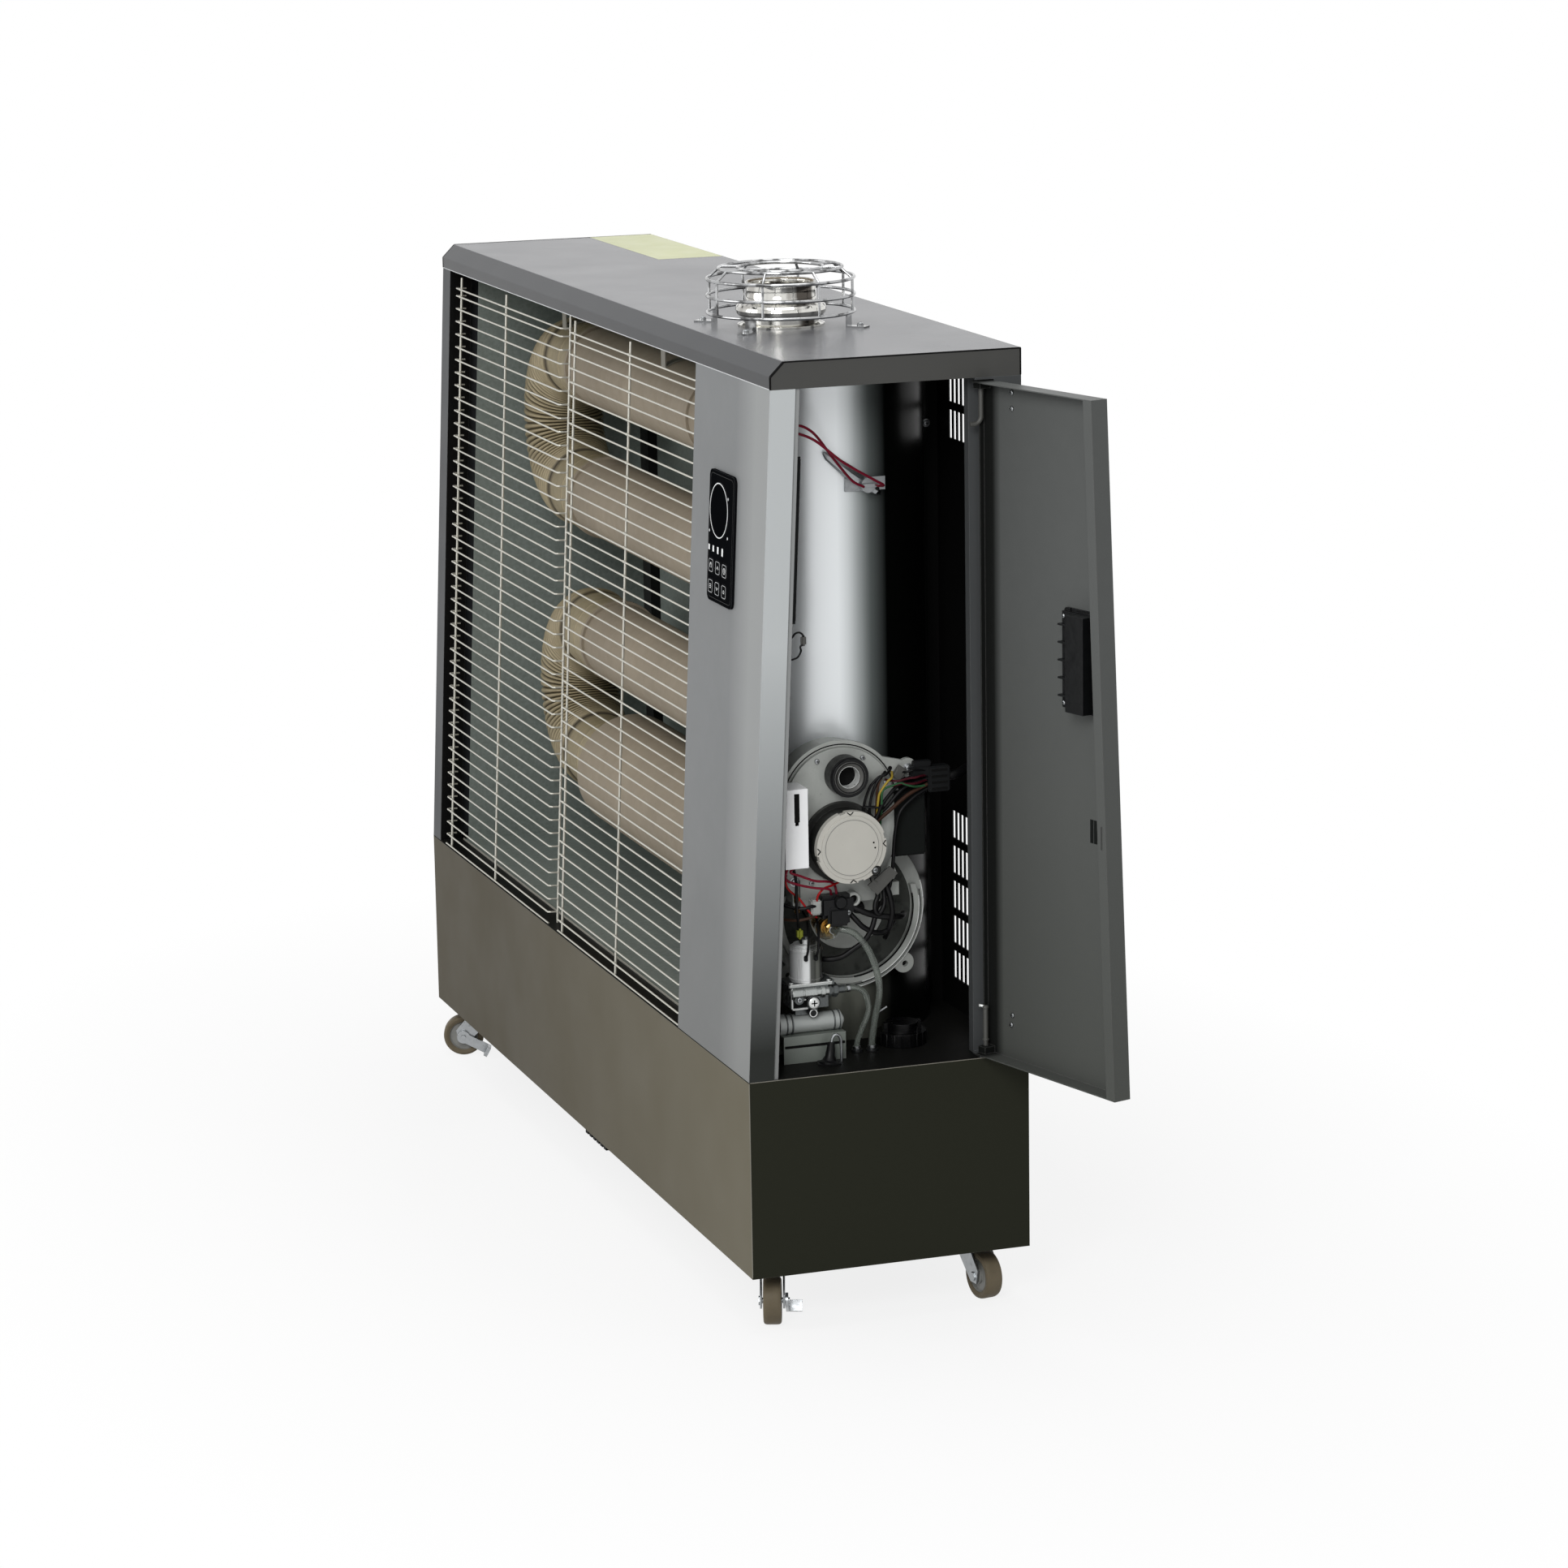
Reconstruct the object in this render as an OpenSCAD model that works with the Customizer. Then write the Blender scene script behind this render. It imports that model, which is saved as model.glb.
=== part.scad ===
// Infrared diesel heater on castors: a wedge-shaped cabinet over a fuel plinth, radiant tubes
// behind a wire guard at the front, and a burner in a service bay behind a side door.

/* [Cabinet] */
// Width of the plinth and the cabinet, left to right
cabinet_w = 1230; // [1100:5:1400]
// Depth of the plinth
plinth_d = 307; // [290:1:340]
// Height of the plinth
plinth_h = 210; // [180:1:260]
// Height of the cabinet walls from the plinth to the top cap
wall_h = 709; // [700:1:760]
// Depth of the cabinet above the plinth
body_d = 303; // [288:1:330]
// How far the front leans back over its height
front_lean = 35; // [20:1:45]
// Height of the top cap
cap_h = 28; // [22:1:40]
// Bevel along the front of the top cap
cap_bevel = 14.7; // [6:0.1:18]
// Sheet metal thickness of the cabinet
sheet = 1.5; // [1:0.1:2]
// Width of the control column at the right of the front
column_w = 236; // [220:1:260]
// Width of the narrow post at the left of the front
left_post_w = 33; // [25:1:45]
// Depth of the returns behind the posts
return_d = 27; // [20:1:30]

/* [Service door] */
// Angle that the door stands open
door_open = 106; // [0:1:110]
// Depth of the folded door pan
door_depth = 20; // [16:0.5:24]
// Sheet thickness of the door
door_sheet = 1.2; // [0.8:0.1:1.6]
// Gap round the closed door
door_gap = 1.5; // [1:0.1:3]
// Width of the return flange along the door's free edge
door_return = 13; // [8:0.5:20]
// Distance of the hinge pins in front of the cabinet's back
hinge_inset = 41; // [38:1:60]
// Distance of the hinge pins behind the door's outer face
hinge_depth = 7; // [5:0.5:7.5]
// Diameter of the hinge pins
hinge_pin_d = 5; // [4:0.5:6]
// Running clearance of pins, shafts and axles, on the radius
run_gap = 0.05; // [0.03:0.01:0.09]

/* [Radiant tubes] */
// Radius of the three slim radiant tubes
tube_r = 46; // [40:0.5:50]
// Radius of the combustion drum at the bottom
drum_r = 68; // [60:0.5:72]
// Wall of the tubes and the drum
tube_wall = 1.5; // [1:0.1:3]
// Depth of the tube axes behind the plinth's front
tube_y = 147; // [140:1:160]
// Height of the top tube's axis above the plinth
tube1_h = 616; // [600:1:625]
// Height of the second tube's axis above the plinth
tube2_h = 460; // [450:1:470]
// Height of the third tube's axis above the plinth
tube3_h = 293; // [285:1:305]
// Height of the combustion drum's axis above the plinth
drum_h = 144; // [135:1:150]
// Ribs on each bellows bend
bellows_ribs = 30; // [16:1:40]
// Height of a bellows rib
rib_h = 4; // [2:0.5:6]
// Length of the plain sleeve at each end of a bellows bend
sleeve_l = 92; // [80:1:110]

/* [Wire guard] */
// Spacing of the horizontal wires
wire_pitch = 15.53; // [14:0.01:18]
// Number of evenly spaced wires
wire_count = 44; // [30:1:44]
// Diameter of the horizontal wires
wire_d = 3; // [2:0.5:4]
// Diameter of the upright rods
rod_d = 4; // [3:0.5:5]
// Length of the wire ends that bend back
wire_hook = 14; // [8:1:20]

/* [Burner] */
// Depth of the fan axis behind the plinth's front
fan_y = 127; // [125:1:145]
// Height of the fan axis above the plinth
fan_h = 228; // [220:1:240]
// Radius of the fan housing's scroll
scroll_r = 62; // [58:1:68]
// Radius of the fan wheel
fan_r = 50; // [40:1:52]
// Number of fan blades
fan_blades = 16; // [8:1:24]
// Radius of the motor's end cap
motor_r = 38; // [30:0.5:42]
// Radius of the round burner flange
flange_r = 92; // [84:1:96]

/* [Flue] */
// Outer radius of the flue pipe
flue_r = 37; // [30:0.5:42]
// Radius of the guard rings round the flue
flue_guard_r = 77.5; // [72:0.5:95]
// Height of the flue pipe above the top cap
flue_h = 46; // [36:1:60]
// Distance of the flue from the cabinet's right side
flue_x = 288; // [280:1:330]

/* [Controls] */
// Width of the control fascia
fascia_w = 80; // [76:1:100]
// Height of the control fascia
fascia_h = 136; // [130:1:150]
// Width and height of a key
key_size = 15; // [12:0.5:16]
// Spacing of the key columns and rows
key_pitch = 21.5; // [18:0.5:22]
// Diameter of the round display window
display_d = 54; // [40:1:60]
// Travel of a key
key_travel = 0.8; // [0.5:0.1:1.2]

/* [Castors] */
// Diameter of the castor wheels
wheel_d = 50; // [45:1:52]
// Width of the castor wheels
wheel_w = 19; // [16:1:22]
// Height of a castor from the floor to its plate
castor_h = 62; // [60:1:70]
// Distance of the wheel axle from the swivel axis
castor_trail = 26; // [24:1:30]
// Distance of the swivel axes from the plinth's ends
castor_inset_x = 60; // [50:1:90]
// Distance of the swivel axes from the plinth's front and back
castor_inset_y = 42; // [36:1:60]
// Radius of a castor's kingpin
kingpin_r = 4; // [3:0.5:5]
// Radius of a castor's axle
axle_r = 3; // [2.5:0.5:4]

/* [Hidden] */

$fn = 64;
eps = 0.01;
lean_a = atan(front_lean / wall_h);
cap_z = plinth_h + wall_h;
cap_top = cap_z + cap_h;

// Door pin, door height and the place where the door's free edge meets the column
pin_x = -hinge_depth;
pin_y = body_d - hinge_inset;
door_z0 = plinth_h + 3;
door_z1 = cap_z - 3.5;
door_back_y = pin_y + 4;
joggle_w = 5;
door_free_off = return_d + joggle_w + door_gap;

// The open door sets the reach of the part to the right and to the back
door_reach_y = pin_y - (front_y(door_z0) + door_free_off);
door_inner = door_depth - hinge_depth;
reach_right = pin_x - door_inner * cos(door_open) + door_reach_y * sin(door_open);
reach_back = max(plinth_d, pin_y + hinge_depth * sin(door_open) - door_reach_y * cos(door_open));
castor_yaw = [-108, -20, 160, 8];
tread_round = 3;
wheel_front = castor_inset_y + (castor_trail + wheel_d / 2) * sin(castor_yaw[0])
  - (wheel_w / 2 - tread_round) * abs(cos(castor_yaw[0]));
reach_front = min(0, wheel_front);
frame_x = (cabinet_w - reach_right) / 2;
frame_y = -(reach_back + reach_front) / 2;

// Heights of the tube axes
tube1_z = plinth_h + tube1_h;
tube2_z = plinth_h + tube2_h;
tube3_z = plinth_h + tube3_h;
drum_z = plinth_h + drum_h;
fan_z = plinth_h + fan_h;
upper_bend_r = (tube1_z - tube2_z) / 2;
lower_bend_r = (tube3_z - drum_z) / 2;
return_bend_r = (tube2_z - tube3_z) / 2;
bend_x = -cabinet_w + 203;
upper_tube_x = bend_x + sleeve_l;
lower_bend_x = bend_x + 38;
lower_tube_x = lower_bend_x + sleeve_l;
return_x = -column_w - 50;
bead_r = tube_r + 3;
bead_l = 7;
branch_x = -flue_x - 190;
reducer_l = 40;
riser_r = flue_r - 1.5;
spigot_h = 20;

// Reflector and divider
reflector_x = -cabinet_w + 40;
reflector_y = body_d - 33;
reflector_front = 34;
reflector_sheet = 1;
divider_x = -column_w;
hole_gap = 0.5;

// Heat shield: a half drum that bulges into the service bay
shield_r = 118;
shield_y = 160;
shield_front = divider_x + shield_r;
shield_cut = 74;
shield_sheet = 1;

// Burner planes, counted from the cabinet's right side
flange_x = shield_front + 2;
flange_t = 6;
housing_x = flange_x + flange_t;
housing_d = 38;
cover_t = 4;
housing_front = housing_x + housing_d + cover_t;
motor_l = 26;
end_cap_l = 9;
housing_wall = 4;
shaft_r = 4;
intake_y = fan_y + 4;
intake_z = fan_z + 70;
intake_r = 21;
scroll_top = 39;

// Fuel parts
pump_x = -66;
pump_y = 92;
pump_z = plinth_h + 75;
deck_t = sheet;
filler_x = -88;
filler_y = 199;
filler_r = 21;
filler_neck_h = 9;

// Controls
fascia_x = -131;
fascia_z = cap_z - 168;
fascia_t = 3;
fascia_side = 4;
fascia_end = 6;
box_d = 38;
box_half_h = 85;
box_left = 60;
box_drop = 11;

// Castors
axle_z = wheel_d / 2 - castor_h;
fork_top = -castor_h + wheel_d + 3.2;
plate_t = 2.5;
fork_t = 2;
leg_gap = 1.5;

function front_y(z) = front_lean * max(0, z - plinth_h) / wall_h;
function castor_x(i) = (i == 0 || i == 2) ? -cabinet_w + castor_inset_x : -castor_inset_x;
function castor_y(i) = (i < 2) ? castor_inset_y : plinth_d - castor_inset_y;

// Placing: the cabinet frame has x = 0 at the right side, y = 0 at the front, z = 0 under the plinth
module at_frame() { translate([frame_x, frame_y, castor_h]) children(); }
module yz(x0, x1) { translate([x0, 0, 0]) rotate([90, 0, 90]) linear_extrude(x1 - x0) children(); }
module xz(y0, y1) { translate([0, y1, 0]) rotate([90, 0, 0]) linear_extrude(y1 - y0) children(); }
module slab(lo, hi) { translate(lo) cube(hi - lo); }
module along_x(x0, x1, y, z, r) { translate([x0, y, z]) rotate([0, 90, 0]) cylinder(r = r, h = x1 - x0); }
module pipe_x(x0, x1, y, z, r, wall) {
  difference() {
    along_x(x0, x1, y, z, r);
    along_x(x0 - 1, x1 + 1, y, z, r - wall);
  }
}
// A wall that leans with the front, from depth a to depth b behind it
module lean(x0, x1, a, b, z0 = plinth_h, z1 = cap_z) {
  yz(x0, x1) polygon([
    [front_y(z0) + a, z0], [front_y(z1) + a, z1], [front_y(z1) + b, z1], [front_y(z0) + b, z0]]);
}
// Origin on the leaning front face, with x right, y into the cabinet and z up the face
module on_front(x, z) { translate([x, front_y(z), z]) rotate([-lean_a, 0, 0]) children(); }
module rounded(w, h, r) {
  union() {
    square([w - 2 * r, h], center = true);
    square([w, h - 2 * r], center = true);
    for (sx = [-1, 1], sz = [-1, 1]) translate([sx * (w / 2 - r), sz * (h / 2 - r)]) circle(r);
  }
}

// A tube swept along points: each ring has its own radius and is square to the path
function unit(v) = v / norm(v);
function heading(p, i) = unit(p[min(i + 1, len(p) - 1)] - p[max(i - 1, 0)]);
function ring(c, t, side, r, n) =
  let (u = unit(cross(side, t)), v = cross(t, u))
  [for (k = [0:n - 1]) c + r * (cos(360 * k / n) * u + sin(360 * k / n) * v)];
function band(a, b, n, flip) = [for (k = [0:n - 1])
  let (k2 = (k + 1) % n)
  each flip ? [[a + k, b + k2, a + k2], [a + k, b + k, b + k2]]
            : [[a + k, a + k2, b + k2], [a + k, b + k2, b + k]]];
module swept(path, radii, side, n) {
  m = len(path);
  pts = [for (i = [0:m - 1]) each ring(path[i], heading(path, i), side, radii[i], n)];
  walls = [for (i = [0:m - 2]) each band(i * n, (i + 1) * n, n, true)];
  caps = [for (k = [1:n - 2]) each [[0, k, k + 1], [(m - 1) * n, (m - 1) * n + k + 1, (m - 1) * n + k]]];
  polyhedron(pts, concat(walls, caps));
}
module swept_hollow(path, radii, bore_path, bore, side, n) {
  m = len(path);
  b = len(bore_path);
  out = [for (i = [0:m - 1]) each ring(path[i], heading(path, i), side, radii[i], n)];
  inn = [for (i = [0:b - 1]) each ring(bore_path[i], heading(bore_path, i), side, bore, n)];
  walls = [for (i = [0:m - 2]) each band(i * n, (i + 1) * n, n, true)];
  bores = [for (i = [0:b - 2]) each band((m + i) * n, (m + i + 1) * n, n, false)];
  ends = concat(band(0, m * n, n, false), band((m - 1) * n, (m + b - 1) * n, n, true));
  polyhedron(concat(out, inn), concat(walls, bores, ends));
}
function mid(a, b, t) = a + (b - a) * t;
// Points of a smooth route through hand-set points
function smooth(p, steps) = [for (i = [0:len(p) - 2], s = [0:steps - 1])
  let (a = p[max(i - 1, 0)], b = p[i], c = p[i + 1], d = p[min(i + 2, len(p) - 1)], t = s / steps)
  b + 0.5 * t * ((c - a) + t * (2 * a - 5 * b + 4 * c - d + t * (3 * b - a - 3 * c + d)))];
function route(p, steps) = concat(smooth(p, steps), [p[len(p) - 1]]);

// Plinth
module plinth_shell() {
  color("#5f5c53") at_frame() difference() {
    slab([-cabinet_w, 0, 0], [0, plinth_d, plinth_h]);
    slab([-cabinet_w + sheet, sheet, -1], [-sheet, plinth_d - sheet, plinth_h - deck_t]);
    translate([filler_x, filler_y, plinth_h - 10]) cylinder(r = filler_r + 0.3, h = 20);
  }
}
floor_z = 6;
module plinth_floor() {
  color("#4a4844") at_frame() difference() {
    union() {
      slab([-cabinet_w + sheet, sheet, 0], [-sheet, plinth_d - sheet, sheet]);
      // Stiffening ribs that carry the tank
      for (x = [-cabinet_w + 200, -cabinet_w / 2, -200])
        slab([x - 15, sheet, sheet], [x + 15, plinth_d - sheet, floor_z]);
      // Drain bracket that shows below the front edge
      slab([-640, 14, -18], [-560, 16, 0]);
      slab([-640, 14, -18], [-560, 30, -16]);
    }
    for (x = [-628, -614, -600, -586, -572]) slab([x - 2.5, 10, -20], [x + 2.5, 26, -8]);
  }
}
module fuel_tank() {
  color("#2f2f2f") at_frame() union() {
    difference() {
      slab([-cabinet_w + 70, 12, floor_z], [-20, plinth_d - 12, plinth_h - 14]);
      slab([-cabinet_w + 72, 14, floor_z + 2], [-22, plinth_d - 14, plinth_h - 16]);
      translate([filler_x, filler_y, plinth_h - 20]) cylinder(r = filler_r - 2.5, h = 20);
    }
    translate([filler_x, filler_y, plinth_h - 15]) difference() {
      cylinder(r = filler_r, h = 15 + filler_neck_h);
      translate([0, 0, -2]) cylinder(r = filler_r - 2.5, h = 30);
    }
  }
}
module filler_cap() {
  cap_z0 = plinth_h + 0.4;
  color("#1c1c1c") at_frame() translate([filler_x, filler_y, cap_z0]) difference() {
    union() {
      cylinder(r = filler_r + 4.5, h = 14);
      translate([0, 0, 14]) cylinder(r = filler_r - 4, h = 9);
      translate([-3, -filler_r, 14]) cube([6, 2 * filler_r, 9]);
      for (a = [0:20:340]) rotate([0, 0, a]) translate([filler_r + 4, 0, 0])
        cylinder(r = 1.2, h = 14, $fn = 16);
    }
    translate([0, 0, -1]) cylinder(r = filler_r + run_gap, h = 11);
  }
}

// Cabinet
module left_end_panel() {
  color("#7f8284") at_frame() union() {
    yz(-cabinet_w, -cabinet_w + sheet)
      polygon([[0, plinth_h], [front_lean, cap_z], [body_d, cap_z], [body_d, plinth_h]]);
    lean(-cabinet_w, -cabinet_w + left_post_w, 0, sheet);
    lean(-cabinet_w + left_post_w - sheet, -cabinet_w + left_post_w, 0, return_d);
    slab([-cabinet_w, body_d - sheet, plinth_h], [-cabinet_w + 25, body_d, cap_z]);
  }
}
slot_w = 8;
slot_h = 30;
slot_pitch_x = 12;
slot_pitch_z = 38.5;
module louvre_rows(z_first, rows) {
  for (r = [0:rows - 1], c = [0:5])
    translate([-201 + c * slot_pitch_x, body_d - 5, z_first + r * slot_pitch_z]) cube([slot_w, 10, slot_h]);
}
module back_panel() {
  color("#2b2c2c") at_frame() difference() {
    slab([-cabinet_w + 25, body_d - sheet, plinth_h], [-sheet, body_d, cap_z]);
    louvre_rows(plinth_h + 34, 5);
    louvre_rows(cap_z - 90, 2);
    // Hole for the mains cable gland
    translate([-60, body_d + 5, plinth_h + 20]) rotate([90, 0, 0]) cylinder(r = 8, h = 10);
  }
}
module control_column() {
  color("#87898a") at_frame() difference() {
    union() {
      lean(-column_w, 0, 0, sheet);
      lean(-sheet, 0, 0, return_d);
      lean(-sheet - 2, -sheet, return_d - sheet, return_d);
      lean(-sheet - 2, -sheet - 0.5, return_d - sheet, return_d + joggle_w);
      lean(-sheet - 14, -sheet - 2, return_d + joggle_w - sheet, return_d + joggle_w);
      lean(-column_w, -column_w + sheet, 0, 12);
    }
    on_front(fascia_x, fascia_z) xz(-5, 6)
      square([fascia_w - 2 * fascia_side, fascia_h - 2 * fascia_end], center = true);
  }
}
jamb_x = -door_depth - 2;
step_y = pin_y + 11.5;
module rear_post() {
  color("#6f7172") at_frame() difference() {
    union() {
      slab([-sheet, step_y, plinth_h], [0, body_d, cap_z]);
      slab([jamb_x, step_y, plinth_h], [0, step_y + sheet, cap_z]);
      slab([jamb_x - sheet, pin_y - 8, plinth_h], [jamb_x, step_y + sheet, cap_z]);
      slab([jamb_x - 12, pin_y - 8, plinth_h], [jamb_x, pin_y - 8 + sheet, cap_z]);
      slab([jamb_x, pin_y - 9, cap_z - 2.5], [0, step_y, cap_z]);
      slab([jamb_x, pin_y - 9, plinth_h], [0, step_y, plinth_h + 2]);
    }
    for (z = [plinth_h - 1, cap_z - 4]) translate([pin_x, pin_y, z]) cylinder(d = hinge_pin_d, h = 6);
  }
}
module bay_divider() {
  color("#2a2b2b") at_frame() difference() {
    yz(divider_x - sheet, divider_x) polygon([
      [front_y(plinth_h) + 13, plinth_h], [front_y(cap_z) + 13, cap_z],
      [body_d - sheet, cap_z], [body_d - sheet, plinth_h]]);
    along_x(divider_x - 5, divider_x + 5, tube_y, tube1_z, tube_r + hole_gap);
    along_x(divider_x - 5, divider_x + 5, tube_y, drum_z, drum_r + hole_gap);
    // Slot that the return bend passes through
    yz(divider_x - 5, divider_x + 5) union() {
      for (z = [tube2_z, tube3_z]) translate([tube_y, z]) circle(tube_r + hole_gap);
      translate([tube_y - tube_r - hole_gap, tube3_z]) square([2 * (tube_r + hole_gap), tube2_z - tube3_z]);
    }
  }
}
module shield_outline(t) {
  intersection() {
    translate([0, shield_y]) circle(shield_r - t, $fn = 128);
    translate([-t, shield_cut + t]) square([200, 400]);
  }
}
module heat_shield() {
  color("#c9cccf") at_frame() difference() {
    translate([divider_x, 0, plinth_h]) linear_extrude(wall_h) union() {
      difference() {
        shield_outline(0);
        shield_outline(shield_sheet);
      }
      // Flange that is riveted to the divider
      translate([0, shield_y + shield_r - shield_sheet]) square([shield_sheet, 12]);
    }
    along_x(divider_x + 20, 0, tube_y, drum_z, drum_collar_r + 1);
  }
}
module cap_outline(t, drop) {
  polygon([
    [front_lean + t, cap_z - drop], [front_lean + t, cap_top - cap_bevel - 0.41 * t],
    [front_lean + cap_bevel + 0.41 * t, cap_top - t], [body_d - t, cap_top - t], [body_d - t, cap_z - drop]]);
}
module top_cap() {
  color("#8f9092") at_frame() difference() {
    yz(-cabinet_w, 0) cap_outline(0, 0);
    yz(-cabinet_w + sheet, -sheet) cap_outline(sheet, 1);
    translate([-flue_x, tube_y, cap_z]) cylinder(r = riser_r + hole_gap, h = 60);
  }
}

// Reflector
roof_drop = 12;
module reflector() {
  roof_z = cap_z - roof_drop;
  color("#8b9795") at_frame() difference() {
    union() {
      yz(reflector_x, reflector_x + reflector_sheet) polygon([
        [front_y(plinth_h) + reflector_front, plinth_h], [front_y(cap_z) + reflector_front, cap_z],
        [reflector_y, cap_z], [reflector_y, plinth_h]]);
      slab([reflector_x, reflector_y, plinth_h], [divider_x - sheet, reflector_y + reflector_sheet, cap_z]);
      // Roof sheet over the top tube
      slab([reflector_x, front_y(cap_z) + 40, roof_z],
           [divider_x - sheet, reflector_y, roof_z + reflector_sheet]);
    }
    translate([-flue_x, tube_y, roof_z - 5]) cylinder(r = riser_r + hole_gap, h = 10);
  }
}

// Wire guard: wires lie on the leaning front, the rods stand behind them
wire_z0 = 14;
top_wire_gap = 9;
rod_behind = wire_d + rod_d / 2 - 0.6;
rod_foot = 1.2;
rod_l = (wall_h - 4) / cos(lean_a) - rod_foot;
wires = min(wire_count, floor((rod_l - wire_z0 - top_wire_gap - rod_d) / wire_pitch) + 1);
module guard_wires(x0, x1, hook0, hook1, rods) {
  on_front(0, plinth_h) union() {
    for (i = [0:wires]) {
      z = wire_z0 + min(i, wires - 1) * wire_pitch + (i < wires ? 0 : top_wire_gap);
      along_x(x0, x1, wire_d / 2, z, wire_d / 2);
      if (hook0) wire_end(x0 + wire_d / 2, z);
      if (hook1) wire_end(x1 - wire_d / 2, z);
    }
    for (r = rods) translate([r[0], r[1], rod_foot]) cylinder(d = rod_d, h = rod_l);
  }
}
module wire_end(x, z) {
  translate([x, wire_d / 2, z]) rotate([-90, 0, 0]) cylinder(d = wire_d - 0.1, h = wire_hook - wire_d / 2);
}
left_guard_x0 = -cabinet_w + left_post_w + 22;
left_guard_x1 = -728;
right_guard_x0 = -690;
right_guard_x1 = -column_w - 3;
hook_rod = wire_hook - 1;
module left_guard() {
  color("#c3c1b8") at_frame() guard_wires(left_guard_x0, left_guard_x1, true, true, [
    [left_guard_x0 + 18, rod_behind], [mid(left_guard_x0, left_guard_x1, 0.48), rod_behind],
    [left_guard_x1 - wire_d / 2, hook_rod]]);
}
module right_guard() {
  color("#c3c1b8") at_frame() guard_wires(right_guard_x0, right_guard_x1, false, true, [
    [right_guard_x0 + 10, rod_behind], [mid(right_guard_x0, right_guard_x1, 0.48), rod_behind],
    [right_guard_x1 - wire_d / 2, hook_rod]]);
}

// Radiant tubes
module bead(x, z) { pipe_x(x, x + bead_l, tube_y, z, bead_r, 3.2); }
module upper_tube() {
  end_x = divider_x - 6;
  color("#a3957e") at_frame() difference() {
    union() {
      along_x(upper_tube_x, end_x, tube_y, tube1_z, tube_r);
      for (x = [upper_tube_x, branch_x]) along_x(x, x + bead_l, tube_y, tube1_z, bead_r);
      translate([-flue_x, tube_y, tube1_z]) cylinder(r = riser_r, h = cap_top + flue_h - tube1_z);
      // Spigot that takes the flue pipe
      translate([-flue_x, tube_y, cap_top + flue_h - spigot_h]) cylinder(r = flue_r, h = spigot_h);
    }
    along_x(upper_tube_x - 1, end_x - tube_wall, tube_y, tube1_z, tube_r - tube_wall);
    translate([-flue_x, tube_y, tube1_z]) cylinder(r = riser_r - tube_wall, h = cap_top + flue_h);
  }
}
module second_tube() {
  color("#a3957e") at_frame() union() {
    pipe_x(upper_tube_x, return_x, tube_y, tube2_z, tube_r, tube_wall);
    bead(upper_tube_x, tube2_z);
  }
}
module third_tube() {
  color("#a3957e") at_frame() union() {
    pipe_x(lower_tube_x, return_x, tube_y, tube3_z, tube_r, tube_wall);
    bead(lower_tube_x, tube3_z);
    // Return bend up to the second tube, hidden behind the heat shield
    translate([return_x, tube_y, (tube2_z + tube3_z) / 2]) rotate([90, 90, 0]) rotate_extrude(angle = 180)
      translate([return_bend_r, 0]) difference() {
        circle(tube_r);
        circle(tube_r - tube_wall);
      }
  }
}
drum_collar_r = 56;
module combustion_drum() {
  x1 = divider_x + 40;
  cone_x = lower_tube_x + reducer_l;
  color("#a08e76") at_frame() difference() {
    union() {
      along_x(cone_x, x1, tube_y, drum_z, drum_r);
      translate([lower_tube_x, tube_y, drum_z]) rotate([0, 90, 0])
        cylinder(r1 = tube_r, r2 = drum_r, h = reducer_l);
      along_x(lower_tube_x, lower_tube_x + bead_l, tube_y, drum_z, bead_r);
      along_x(x1, flange_x, tube_y, drum_z, drum_collar_r);
    }
    along_x(cone_x - eps, x1 - tube_wall, tube_y, drum_z, drum_r - tube_wall);
    translate([lower_tube_x - eps, tube_y, drum_z]) rotate([0, 90, 0])
      cylinder(r1 = tube_r - tube_wall, r2 = drum_r - tube_wall, h = reducer_l + 2 * eps);
    along_x(x1 - 5, flange_x + 1, tube_y, drum_z, drum_collar_r - 4);
  }
}
// A half-circle bend with a rib at every step and a plain sleeve at each end
function bend_path(x, z, r, steps) = concat([[x + sleeve_l, tube_y, z + r]],
  [for (i = [0:steps]) let (a = 90 + 180 * i / steps) [x + r * cos(a), tube_y, z + r * sin(a)]],
  [[x + sleeve_l, tube_y, z - r]]);
module bellows(x, z_mid, r_bend) {
  path = bend_path(x, z_mid, r_bend, 2 * bellows_ribs);
  last = len(path) - 1;
  radii = [for (i = [0:last]) (i < 2 || i > last - 2) ? tube_r : tube_r + rib_h / 2 * (i % 2 == 1 ? 1 : -1)];
  swept_hollow(path, radii, bend_path(x, z_mid, r_bend, 16), tube_r - rib_h / 2 - 2, [0, 1, 0], 16);
}
module upper_bellows() {
  color("#b9ac8d") at_frame() bellows(bend_x, (tube1_z + tube2_z) / 2, upper_bend_r);
}
module lower_bellows() {
  color("#b9ac8d") at_frame() bellows(lower_bend_x, (tube3_z + drum_z) / 2, lower_bend_r);
}
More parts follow.
